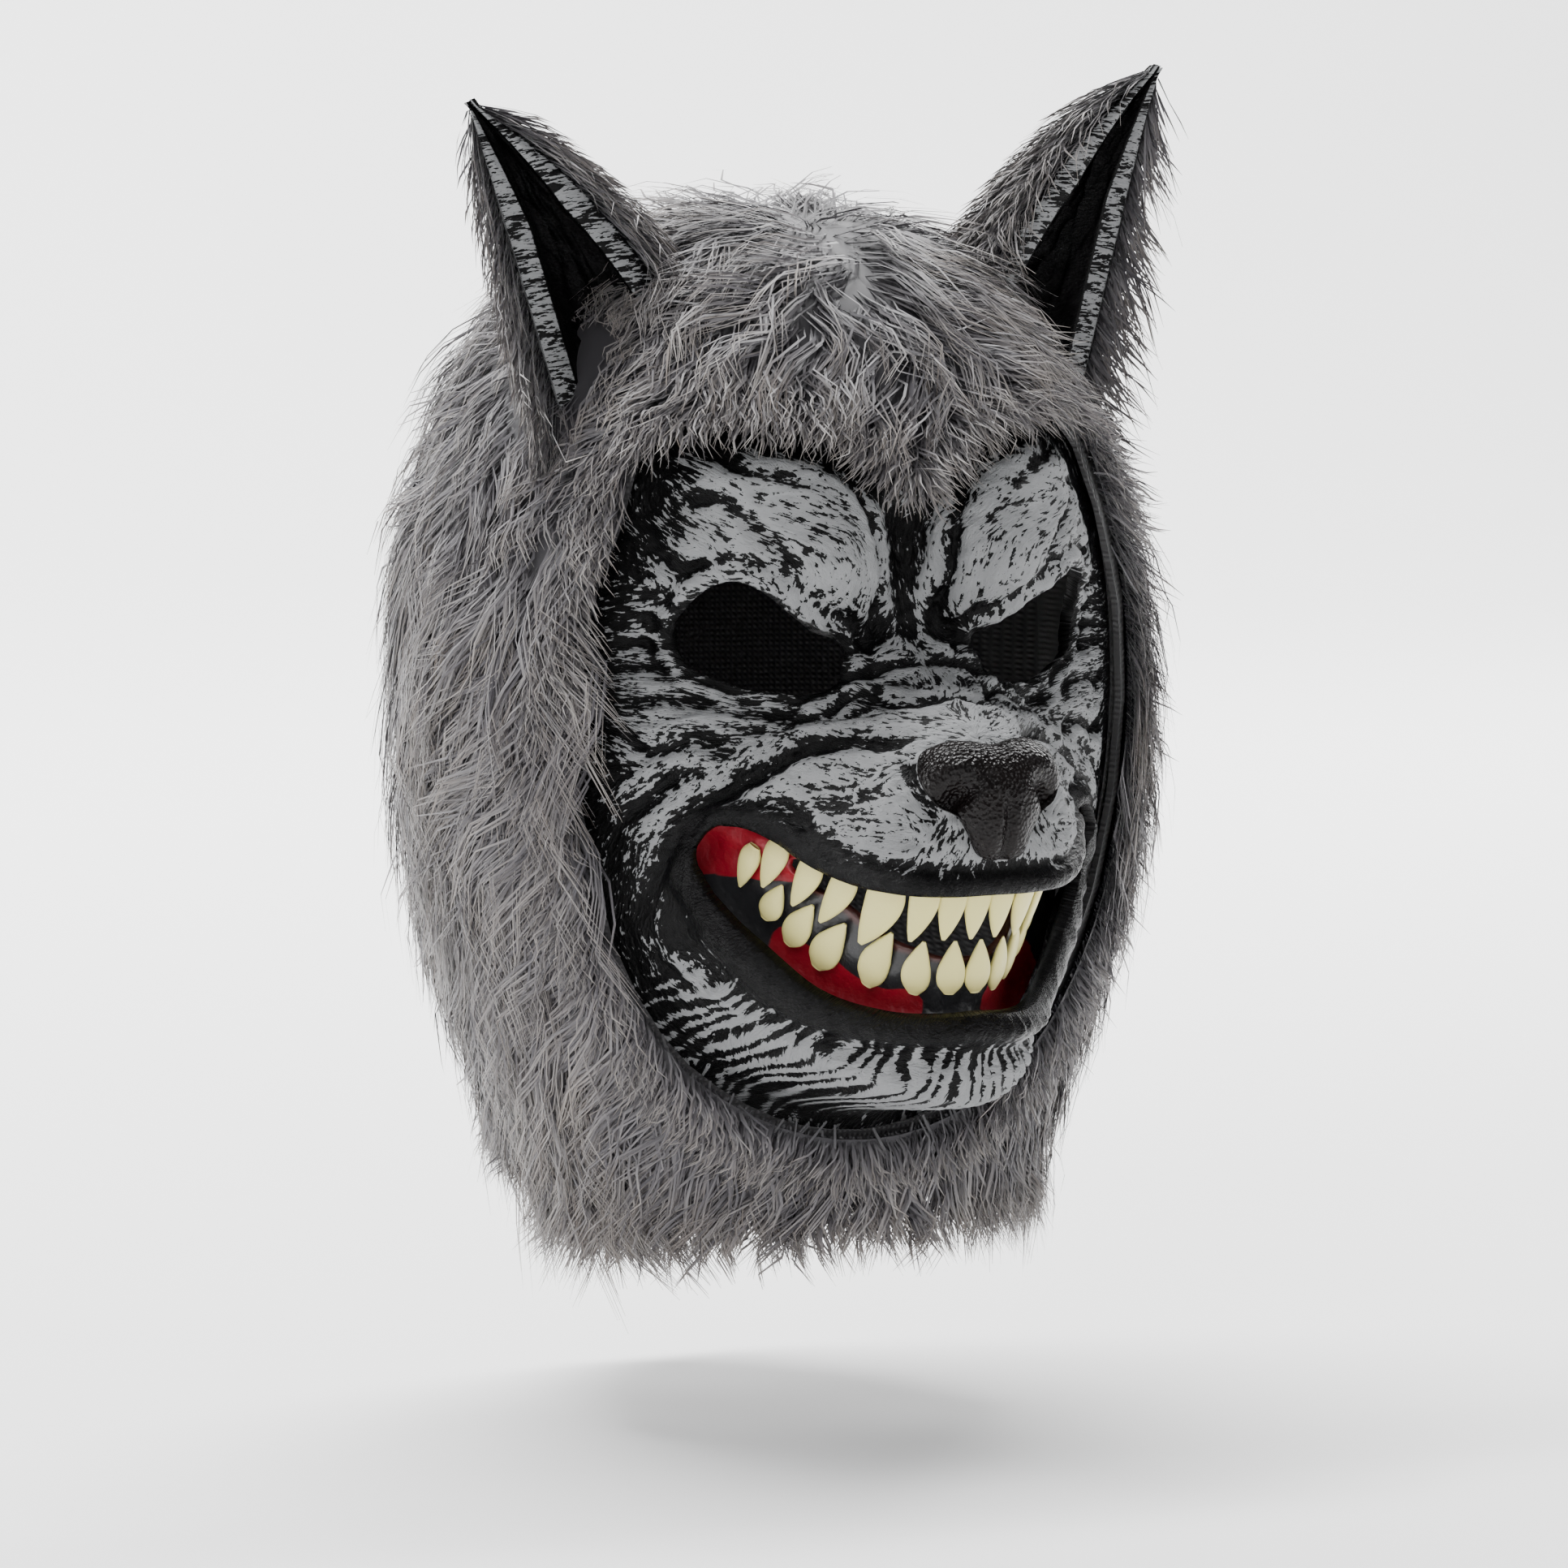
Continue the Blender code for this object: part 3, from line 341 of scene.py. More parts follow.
def ear_frame(t, side):
    """Inner and outer rim points, their middle and the way to the back, at a share of the ear's height."""
    flip = np.array((side, 1, 1))
    top = EAR_TIP - (EAR_DROOP if side < 0 else 0.0)
    inner = EAR_INNER_BASE + (top - EAR_INNER_BASE) * t
    outer = EAR_OUTER_BASE + (top - EAR_OUTER_BASE) * t
    bow = 0.16 * np.linalg.norm(EAR_OUTER_BASE - EAR_INNER_BASE) * 4 * max(t, 0) * (1 - t)
    inner = inner - np.array((0.8, 0.1, -0.6)) * bow
    wide = np.maximum(np.linalg.norm(outer - inner), 0.0022)
    middle = (inner + outer) / 2
    across = (outer - inner) / np.linalg.norm(outer - inner) if t < 0.999 else np.array((0.9, 0.2, -0.4))
    up = top - (EAR_INNER_BASE + EAR_OUTER_BASE) / 2
    back = np.cross(up, across)
    back /= np.linalg.norm(back)
    back = back + np.array((-0.45, 0, 0))
    back /= np.linalg.norm(back)
    return middle * flip, across * flip, back * flip, wide / 2


def ear_arc(t, side, grow, count):
    """Points round the back of the ear, from its inner rim to its outer rim, grown by a distance."""
    middle, across, back, half = ear_frame(t, side)
    depth = EAR_DEPTH * max(1.0 - t, 0.0) ** 0.75 + 0.001
    turn = np.linspace(math.pi, 0, count)
    half = max(half + grow, 0.0006)
    deep = max(depth + grow, 0.0004)
    return middle + np.outer(np.cos(turn), across) * half + np.outer(np.sin(turn), back) * deep


# Finer folds of the face, over the CAD's form: depth and width in metres, a ridge above 0, and each
# point of the fold by half width and drop. Each is on both halves of the face.
FINE_FOLDS = (
    # name, depth, width, points
    ("brow_inner", -0.0030, 0.0026, ((0.24, 0.11), (0.15, 0.17), (0.12, 0.24), (0.12, 0.31), (0.21, 0.345))),
    ("brow_curl", -0.0030, 0.0024, ((0.68, 0.075), (0.77, 0.12), (0.79, 0.18), (0.73, 0.235), (0.66, 0.225))),
    ("brow_top", -0.0022, 0.0024, ((0.66, 0.075), (0.57, 0.10), (0.46, 0.12), (0.31, 0.135))),
    ("brow_mid", -0.0020, 0.0022, ((0.70, 0.14), (0.60, 0.157), (0.51, 0.195), (0.43, 0.245))),
    ("brow_lump", 0.0024, 0.0085, ((0.62, 0.17), (0.50, 0.18), (0.38, 0.20), (0.27, 0.26))),
    ("brow_shelf", 0.0016, 0.0040, ((0.64, 0.228), (0.54, 0.238), (0.40, 0.275), (0.24, 0.325))),
    ("crow_top", -0.0018, 0.0016, ((0.97, 0.27), (0.88, 0.278), (0.80, 0.272), (0.73, 0.285))),
    ("crow_upper", -0.0020, 0.0017, ((0.98, 0.31), (0.90, 0.305), (0.83, 0.300), (0.74, 0.315))),
    ("crow_lower", -0.0020, 0.0017, ((0.98, 0.335), (0.90, 0.335), (0.82, 0.332), (0.74, 0.337))),
    ("crow_low", -0.0018, 0.0016, ((0.97, 0.37), (0.89, 0.36), (0.81, 0.357), (0.72, 0.357))),
    ("under_eye", -0.0018, 0.0018, ((0.74, 0.355), (0.66, 0.378), (0.55, 0.402), (0.44, 0.408), (0.33, 0.395))),
    ("cheek_upper", -0.0018, 0.0019, ((0.95, 0.39), (0.84, 0.405), (0.73, 0.395), (0.62, 0.42))),
    ("cheek_lower", -0.0022, 0.0021, ((0.97, 0.42), (0.88, 0.445), (0.80, 0.465), (0.69, 0.445), (0.58, 0.46))),
    ("cheek_fold", -0.0026, 0.0026, ((0.70, 0.47), (0.79, 0.51), (0.86, 0.56), (0.89, 0.62), (0.88, 0.69))),
    ("snarl", -0.0032, 0.0028, ((0.20, 0.45), (0.30, 0.443), (0.43, 0.458), (0.55, 0.49), (0.67, 0.53))),
    ("snarl_back", -0.0026, 0.0026, ((0.67, 0.53), (0.75, 0.58), (0.79, 0.64), (0.80, 0.70))),
    ("snarl_roll", 0.0020, 0.0048, ((0.28, 0.475), (0.43, 0.492), (0.56, 0.525), (0.67, 0.565), (0.74, 0.62))),
    ("hook", -0.0018, 0.0018, ((0.62, 0.54), (0.53, 0.52), (0.47, 0.535), (0.47, 0.565))),
    ("bridge_upper", -0.0020, 0.0020, ((0.26, 0.378), (0.15, 0.360), (0.00, 0.350))),
    ("bridge_lower", -0.0020, 0.0020, ((0.36, 0.418), (0.25, 0.394), (0.13, 0.400), (0.00, 0.388))),
    ("nose_side", -0.0024, 0.0022, ((0.24, 0.455), (0.235, 0.50), (0.17, 0.54))),
    ("lobe", 0.0016, 0.0090, ((0.25, 0.545), (0.40, 0.560), (0.52, 0.560))),
    ("jaw_outer", -0.0022, 0.0022, ((0.88, 0.66), (0.80, 0.74), (0.66, 0.815), (0.50, 0.865))),
    ("jaw_inner", -0.0022, 0.0024, ((0.79, 0.65), (0.75, 0.715), (0.66, 0.765), (0.55, 0.81))),
    ("corner_hollow", -0.0022, 0.0060, ((0.75, 0.63), (0.74, 0.67), (0.68, 0.715), (0.60, 0.75))),
    ("chin_under", -0.0016, 0.0030, ((0.40, 0.825), (0.20, 0.838), (0.00, 0.842))),
)

CHIN_PITCH = 0.0044
LIP_WIDTH = 0.0060
LOWER_LIP_WIDTH = 0.0085
LIP_RISE = 0.0027
WRINKLE_HEIGHT = 0.0008
FACE_GRID_ROWS = 300
FACE_GRID_COLUMNS = 276
BACK_STEP = 6
GRAINS = 6

# Fur.
FUR_SEED = 7
HAIR_SEGMENTS = 4
HAIR_WIDTH = 0.00086
HAIRS_PER_LOCK = 11
LOCK_SPACING = 0.0066
FUR_LENGTH = 0.052
FUR_HEIGHT = 0.0115
PLUSH_LENGTH = 0.019
HEM_HANG = 0.020
FRINGE_LEVEL = -0.078
MOST_HEIGHT = 0.0195

# Colours, linear.
BLACK = (0.0028, 0.0028, 0.0030)
GREY = (0.275, 0.280, 0.285)
GREY_DARK = (0.215, 0.220, 0.225)
GLOSS_BLACK = (0.0020, 0.0018, 0.0018)
GLOSS_BROWN = (0.0075, 0.0050, 0.0048)
TOOTH_CREAM = (0.720, 0.655, 0.255)
TOOTH_ROOT = (0.520, 0.430, 0.170)
GUM_BLACK = (0.018, 0.018, 0.020)
GUM_RED = (0.300, 0.004, 0.016)
GUM_MAROON = (0.060, 0.016, 0.014)
FUR_ROOT = (0.020, 0.019, 0.022)
FUR_DARK = (0.062, 0.058, 0.066)
FUR_GREY = (0.165, 0.156, 0.164)
FUR_TIP = (0.330, 0.305, 0.280)
FUR_WARM = (0.215, 0.175, 0.142)
KNIT = (0.060, 0.058, 0.061)
KNIT_DARK = (0.030, 0.029, 0.031)


# Mesh helpers


def fast_mesh(name, points, faces, vectors=None, numbers=None):
    """A smooth-shaded object from arrays of points and of faces with equal corner counts."""
    points = np.asarray(points, np.float32).reshape(-1, 3)
    faces = np.asarray(faces, np.int32)
    mesh = bpy.data.meshes.new(name)
    mesh.vertices.add(len(points))
    mesh.vertices.foreach_set("co", points.ravel())
    mesh.loops.add(faces.size)
    mesh.loops.foreach_set("vertex_index", faces.ravel())
    mesh.polygons.add(len(faces))
    mesh.polygons.foreach_set("loop_start", np.arange(0, faces.size, faces.shape[1], dtype=np.int32))
    mesh.update(calc_edges=True)
    mesh.validate()
    mesh.shade_smooth()
    for key, values in (vectors or {}).items():
        layer = mesh.attributes.new(key, "FLOAT_VECTOR", "POINT")
        layer.data.foreach_set("vector", np.asarray(values, np.float32).ravel())
    for key, values in (numbers or {}).items():
        layer = mesh.attributes.new(key, "FLOAT", "POINT")
        layer.data.foreach_set("value", np.asarray(values, np.float32).ravel())
    obj = bpy.data.objects.new(name, mesh)
    bpy.context.scene.collection.objects.link(obj)
    return obj


def grid_faces(rows, columns, wrap=False):
    """Corner numbers of the quads of a grid of points, rows by columns."""
    r = np.arange(rows - 1)[:, None]
    c = np.arange(columns if wrap else columns - 1)[None, :]
    d = (c + 1) % columns
    return np.stack([r * columns + c, r * columns + d, (r + 1) * columns + d, (r + 1) * columns + c], -1)


def place(piece, slot, material, *nodes):
    """Gives a piece its material, lets it ride and hides the CAD nodes it stands for. The slot is not used."""
    piece.data.materials.clear()
    piece.data.materials.append(material)
    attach(piece, "root")
    if nodes:
        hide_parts(*nodes)
    return piece


def box_blur(grid, radius, times=2):
    """A grid of values averaged over a square of cells."""
    for _ in range(times):
        for axis in (0, 1):
            pad = [(0, 0)] * grid.ndim
            pad[axis] = (radius + 1, radius)
            total = np.cumsum(np.pad(grid, pad, mode="edge"), axis=axis)
            size = 2 * radius + 1
            high = np.take(total, np.arange(size, total.shape[axis]), axis=axis)
            low = np.take(total, np.arange(0, total.shape[axis] - size), axis=axis)
            grid = (high - low) / size
    return grid


def ripple(points, scale, seed):
    """Smooth noise from -1 to 1, the same in each run: sines along seeded directions."""
    random = np.random.default_rng(seed)
    total = np.zeros(points.shape[:-1])
    for _ in range(7):
        way = random.normal(size=points.shape[-1])
        way *= random.uniform(0.7, 1.5) * 2 * math.pi / (scale * np.linalg.norm(way))
        total += np.sin(points @ way + random.uniform(0, 2 * math.pi))
    return total / 3.5


# Materials


class Nodes:
    """Short calls for building a material's nodes."""

    def __init__(self, name):
        self.material = bpy.data.materials.new(name)
        self.material.use_nodes = True
        self.tree = self.material.node_tree
        self.shader = self.tree.nodes["Principled BSDF"]

    def add(self, kind, **settings):
        node = self.tree.nodes.new(kind)
        for key, value in settings.items():
            setattr(node, key, value)
        return node

    def join(self, source, target):
        if isinstance(source, (int, float)):
            target.default_value = source
        elif isinstance(source, tuple):
            target.default_value = source if len(source) == len(target.default_value) else (*source, 1.0)
        else:
            self.tree.links.new(source, target)

    def attribute(self, name, output="Fac"):
        return self.add("ShaderNodeAttribute", attribute_name=name).outputs[output]

    def math(self, operation, *values, clamp=False):
        node = self.add("ShaderNodeMath", operation=operation, use_clamp=clamp)
        for value, target in zip(values, node.inputs):
            self.join(value, target)
        return node.outputs[0]

    def ramp(self, value, low, high):
        """0 below low and 1 above high, smooth between."""
        node = self.add("ShaderNodeMapRange", interpolation_type="SMOOTHSTEP")
        self.join(value, node.inputs["Value"])
        self.join(low, node.inputs["From Min"])
        self.join(high, node.inputs["From Max"])
        return node.outputs["Result"]

    def noise(self, vector, scale, detail=2.0, roughness=0.5, distortion=0.0):
        node = self.add("ShaderNodeTexNoise")
        self.join(vector, node.inputs["Vector"])
        for key, value in (("Scale", scale), ("Detail", detail), ("Roughness", roughness)):
            self.join(value, node.inputs[key])
        self.join(distortion, node.inputs["Distortion"])
        return node.outputs["Fac"]

    def turned(self, vector, angle, stretch):
        """Coordinates turned by an angle, then squeezed along their first axis."""
        node = self.add("ShaderNodeMapping", vector_type="TEXTURE")
        self.join(vector, node.inputs["Vector"])
        node.inputs["Rotation"].default_value = (0, 0, angle)
        node.inputs["Scale"].default_value = (stretch, 1.0, 1.0)
        return node.outputs["Vector"]

    def socket(self, sockets, name):
        """The socket of a mix node that has this identifier."""
        return next(s for s in sockets if s.identifier == name)

    def mix(self, share, a, b):
        """A colour between two colours."""
        node = self.add("ShaderNodeMix", data_type="RGBA")
        self.join(share, self.socket(node.inputs, "Factor_Float"))
        self.join(a, self.socket(node.inputs, "A_Color"))
        self.join(b, self.socket(node.inputs, "B_Color"))
        return self.socket(node.outputs, "Result_Color")

    def between(self, share, a, b):
        """A number between two numbers."""
        node = self.add("ShaderNodeMix", data_type="FLOAT")
        self.join(share, self.socket(node.inputs, "Factor_Float"))
        self.join(a, self.socket(node.inputs, "A_Float"))
        self.join(b, self.socket(node.inputs, "B_Float"))
        return self.socket(node.outputs, "Result_Float")

    def split(self, vector):
        node = self.add("ShaderNodeSeparateXYZ")
        self.join(vector, node.inputs[0])
        return node.outputs

    def bump(self, height, distance, strength=1.0, after=None):
        node = self.add("ShaderNodeBump")
        self.join(height, node.inputs["Height"])
        node.inputs["Distance"].default_value = distance
        node.inputs["Strength"].default_value = strength
        if after is not None:
            self.join(after, node.inputs["Normal"])
        return node.outputs["Normal"]

    def finish(self, colour, roughness, normal=None, **extra):
        self.join(colour, self.shader.inputs["Base Color"])
        self.join(roughness, self.shader.inputs["Roughness"])
        if normal is not None:
            self.join(normal, self.shader.inputs["Normal"])
        for key, value in extra.items():
            self.shader.inputs[key.replace("_", " ")].default_value = value
        return self.material


def painted_material(name):
    """Black moulding dry-brushed with grey: the paint misses the grooves and breaks into strokes."""
    n = Nodes(name)
    skin = n.attribute("skin", "Vector")
    relief = n.attribute("relief")
    lip = n.attribute("lip")
    stripe = n.attribute("stripe")
    first, second = n.split(n.attribute("grain_a", "Vector")), n.split(n.attribute("grain_b", "Vector"))
    ways = [(first, second)[number // 3][number % 3] for number in range(GRAINS)]
    strokes = flow_noise(n, skin, ways, 900.0, 3.0)
    furrows = flow_noise(n, skin, ways, 300.0, 4.5)
    patches = n.noise(skin, 75.0, 3.0, 0.6)
    speckle = n.noise(skin, 1500.0, 2.0, 0.7)
    level = relief
    for value, share in ((patches, 1.9), (strokes, 15.0), (furrows, 9.0), (speckle, 1.6)):
        level = n.math("ADD", level, n.math("MULTIPLY", n.math("SUBTRACT", value, 0.5), share))
    level = n.math("ADD", level, stripe)
    level = n.math("SUBTRACT", level, n.math("MULTIPLY", lip, 8.0))
    paint = n.ramp(level, -0.10, 0.16)
    tone = n.mix(n.noise(skin, 45.0, 2.0), GREY_DARK, GREY)
    colour = n.mix(paint, BLACK, tone)
    rough = n.between(lip, n.between(paint, 0.40, 0.62), 0.20)
    bump = n.bump(n.math("ADD", strokes, furrows), 0.0022, 0.6)
    bump = n.bump(n.noise(skin, 2600.0, 2.0, 0.6), 0.0003, 0.5, bump)
    pebbles = n.math("MULTIPLY", n.noise(skin, 1100.0, 3.0, 0.6), lip)
    bump = n.bump(pebbles, 0.0012, 0.8, bump)
    return n.finish(colour, rough, bump, Specular_IOR_Level=0.13)


def flow_noise(n, skin, ways, scale, stretch):
    """Noise drawn out along the flow: one stretched noise for each direction, by its weight."""
    total = None
    for number, weight in enumerate(ways):
        along = n.turned(skin, number * math.pi / GRAINS, stretch)
        value = n.math("MULTIPLY", n.noise(along, scale, 3.0, 0.6, 0.3), weight)
        total = value if total is None else n.math("ADD", total, value)
    return total


def glossy_black_material(name, pebble=900.0, roughness=0.26):
    """Wet black paint over a pebbled moulding."""
    n = Nodes(name)
    where = n.add("ShaderNodeTexCoord").outputs["Object"]
    cells = n.add("ShaderNodeTexVoronoi")
    n.join(where, cells.inputs["Vector"])
    cells.inputs["Scale"].default_value = pebble
    bump = n.bump(cells.outputs["Distance"], 0.0006, 0.7)
    bump = n.bump(n.noise(where, 350.0, 3.0), 0.0008, 0.5, bump)
    rough = n.ramp(n.noise(where, 120.0, 3.0), 0.0, 1.0)
    rough = n.math("ADD", n.math("MULTIPLY", rough, 0.22), roughness - 0.1)
    tone = n.mix(n.noise(where, 90.0, 2.0), GLOSS_BLACK, GLOSS_BROWN)
    return n.finish(tone, rough, bump, Specular_IOR_Level=0.16)


def tooth_material():
    """Cream paint, a little darker towards the root."""
    n = Nodes("tooth")
    root = n.attribute("root")
    where = n.add("ShaderNodeTexCoord").outputs["Object"]
    blotch = n.noise(where, 260.0, 3.0)
    colour = n.mix(n.math("MULTIPLY", root, blotch), TOOTH_CREAM, TOOTH_ROOT)
    bump = n.bump(n.noise(where, 900.0, 2.0), 0.0003, 0.35)
    return n.finish(colour, n.math("ADD", n.math("MULTIPLY", blotch, 0.2), 0.34), bump, Specular_IOR_Level=0.4)


def gum_material():
    """Dark satin gums with a wavy edge over a red mouth."""
    n = Nodes("gum")
    red = n.attribute("red")
    deep = n.attribute("deep")
    where = n.add("ShaderNodeTexCoord").outputs["Object"]
    share = n.ramp(n.math("ADD", red, n.math("MULTIPLY", n.noise(where, 240.0, 2.0), 0.25)), 0.55, 0.68)
    colour = n.mix(share, n.mix(deep, GUM_BLACK, GUM_MAROON), GUM_RED)
    bump = n.bump(n.noise(where, 420.0, 3.0), 0.0007, 0.5)
    rough = n.between(share, 0.36, 0.46)
    return n.finish(colour, rough, bump)


def fur_material():
    """Hair by hair: dark roots, grey-mauve shafts and paler, warmer tips."""
    n = Nodes("fur")
    tip, tint, warm = n.split(n.attribute("hair", "Vector"))
    shaft = n.mix(tint, FUR_DARK, FUR_GREY)
    pale = n.mix(warm, FUR_TIP, FUR_WARM)
    colour = n.mix(n.ramp(tip, 0.0, 0.45), FUR_ROOT, shaft)
    pale_share = n.math("ADD", n.math("MULTIPLY", tint, 0.7), 0.2)
    colour = n.mix(n.math("MULTIPLY", n.ramp(tip, 0.35, 1.0), pale_share), colour, pale)
    return n.finish(colour, 0.48, Specular_IOR_Level=0.45, Sheen_Weight=0.25, Sheen_Roughness=0.4)


def knit_material():
    """The knitted backing: fine rows of loops."""
    n = Nodes("backing")
    where = n.add("ShaderNodeTexCoord").outputs["Object"]
    rows = n.add("ShaderNodeTexWave", wave_type="BANDS", bands_direction="Z")
    n.join(where, rows.inputs["Vector"])
    rows.inputs["Scale"].default_value = 190.0
    rows.inputs["Distortion"].default_value = 1.5
    wales = n.add("ShaderNodeTexWave", wave_type="BANDS", bands_direction="X")
    n.join(where, wales.inputs["Vector"])
    wales.inputs["Scale"].default_value = 210.0
    loops = n.math("MULTIPLY", rows.outputs["Fac"], wales.outputs["Fac"])
    colour = n.mix(loops, KNIT_DARK, KNIT)
    return n.finish(colour, 0.95, n.bump(loops, 0.0005, 0.6), Sheen_Weight=0.3)


# Face


def fold_lines():
    """Each fold's line on the face's right half, with its depth and width."""
    for _, depth, width, path in FINE_FOLDS:
        path = np.asarray(path)
        steps = np.linspace(0, len(path) - 1, 14 * len(path))
        share = curve_through(np.arange(len(path)), path, steps)
        xz = face_point(share)
        yield depth, width, on_face(xz[:, 0], xz[:, 1]), steps / (len(path) - 1)


def fine_folds(points):
    """Height that the finer folds add at points, and the way the strokes lie along them."""
    side = points.copy()
    side[..., 0] = np.abs(side[..., 0])
    wander = np.stack([ripple(points, 0.021, 3), ripple(points, 0.024, 4), ripple(points, 0.022, 5)], -1)
    side = side + 0.0011 * wander
    height = np.zeros(points.shape[:-1])
    turned = np.zeros(points.shape[:-1] + (2,))
    weight = np.zeros(points.shape[:-1])
    for depth, width, line, along in fold_lines():
        low, high = line.min(0) - 6 * width, line.max(0) + 6 * width
        near = ((side > low) & (side < high)).all(-1)
        gap = side[near][:, None, :] - line
        away = np.linalg.norm(gap, axis=-1)
        closest = away.argmin(1)
        away = away.min(1)
        taper = smooth(5.0 * along[closest] + 0.15) * smooth(5.0 * (1.0 - along[closest]) + 0.15)
        shape = np.exp(-((away / width) ** 2))
        if depth < 0:
            shape = shape - 0.32 * np.exp(-(((away - 2.1 * width) / (1.1 * width)) ** 2))
        height[near] += depth * taper * shape
        way = np.gradient(line, axis=0)[closest]
        angle = np.arctan2(-way[:, 2], way[:, 0] + 0.6 * np.abs(way[:, 1]) * np.sign(way[:, 0]))
        share = taper * np.exp(-((away / (3.2 * width)) ** 2))
        angle = np.where(points[near][:, 0] < 0, -angle, angle)
        turned[near] += share[:, None] * np.stack([np.cos(2 * angle), np.sin(2 * angle)], -1)
        weight[near] += share
    return height, turned, weight


def stroke_weights(skin, turned, weight):
    """How much of each of the stroke directions to draw at each point of the face."""
    centre = np.array((0.0, 0.47 * FACE_HEIGHT * 1.25))
    away = skin - centre
    angle = np.arctan2(away[..., 1], away[..., 0])
    angle += 0.45 * ripple(skin, 0.030, 11)
    even = np.stack([np.cos(2 * angle), np.sin(2 * angle)], -1)
    total = even * np.clip(1.0 - weight, 0.1, 1.0)[..., None] + turned * 1.3
    angle = 0.5 * np.arctan2(total[..., 1], total[..., 0])
    ways = np.arange(GRAINS) * math.pi / GRAINS
    near = np.abs(np.cos(angle[..., None] - ways)) ** 22
    return near / near.sum(-1, keepdims=True)


def opening_masks(x, z):
    """Distances inside the eye holes and the mouth, above 0 inside them."""
    eye = face_point(even_loop(np.array(EYE_OUTLINE), 72))
    mouth = face_point(closed_outline(MOUTH_OUTLINE, 120))
    return eye, mouth, depth_inside(np.abs(x), z, eye), depth_inside(x, z, mouth)


def snap_to(outline, x, z, picked):
    """Moves picked points of a grid onto the nearest place of an outline."""
    start, end = outline, np.roll(outline, -1, 0)
    way = end - start
    point = np.stack([x[picked], z[picked]], -1)[:, None, :]
    t = np.clip(((point - start) * way).sum(-1) / (way**2).sum(-1), 0.0, 1.0)
    spots = start + t[..., None] * way
    nearest = np.linalg.norm(spots - point, axis=-1).argmin(1)
    spot = spots[np.arange(len(nearest)), nearest]
    x[picked], z[picked] = spot[:, 0], spot[:, 1]


def even_grid(rows, columns):
    """x and z of a grid over the face, at even steps along its surface."""
    z = np.linspace(FACE_TOP, FACE_TOP - FACE_HEIGHT, 400)
    reach = face_reach(0.2 * FACE_HALF_WIDTH, z)
    along = np.concatenate([[0], np.cumsum(np.hypot(np.diff(z), np.diff(reach)))])
    heights = np.interp(np.linspace(0, along[-1], rows + 1), along, z)
    x = np.linspace(0, 1, 160) * face_edge(heights)[:, None]
    reach = face_reach(x, np.repeat(heights[:, None], 160, 1))
    steps = np.hypot(np.diff(x, axis=1), np.diff(reach, axis=1))
    along = np.concatenate([np.zeros((rows + 1, 1)), np.cumsum(steps, 1)], 1)
    half = np.stack([np.interp(np.linspace(0, a[-1], columns // 2 + 1), a, b) for a, b in zip(along, x)])
    return np.concatenate([-half[:, :0:-1], half], 1), np.repeat(heights[:, None], columns + 1, 1)


def grid_normals(points):
    """Unit normals of a grid of points that runs across and down the face."""
    across = np.gradient(points, axis=1)
    down = np.gradient(points, axis=0)
    normal = np.cross(down, across)
    return normal / np.linalg.norm(normal, axis=-1, keepdims=True)


def wrinkles(points, skin, relief):
    """Fine creases of the moulding, sharper in some places than in others."""
    ridged = 1.0 - np.abs(ripple(points, 0.0085, 21))
    fine = 1.0 - np.abs(ripple(points, 0.0042, 22))
    share = 0.5 + 0.5 * ripple(points, 0.030, 23)
    return WRINKLE_HEIGHT * (ridged**3 - 0.4 + 0.6 * share * (fine**3 - 0.4))


def chin_waves(x, z):
    """The chin's wavy upright ridges: 1 on a ridge and -1 in a groove, and where they are."""
    half, drop = np.abs(x) / FACE_HALF_WIDTH, (FACE_TOP - z) / FACE_HEIGHT
    point = np.stack([x, z], -1)
    middle = np.array((0.0, FACE_TOP - 0.52 * FACE_HEIGHT))
    angle = np.arctan2(point[..., 0] - middle[0], middle[1] - point[..., 1])
    across = angle * (0.90 - 0.52) * FACE_HEIGHT
    waver = 2.2 * ripple(point, 0.016, 31) + 0.8 * ripple(point, 0.006, 32)
    wave = np.sin(2 * math.pi * across / CHIN_PITCH + waver)
    where = smooth((drop - 0.800 + 0.10 * half) / 0.05) * smooth((0.95 - half) / 0.35)
    return wave, where


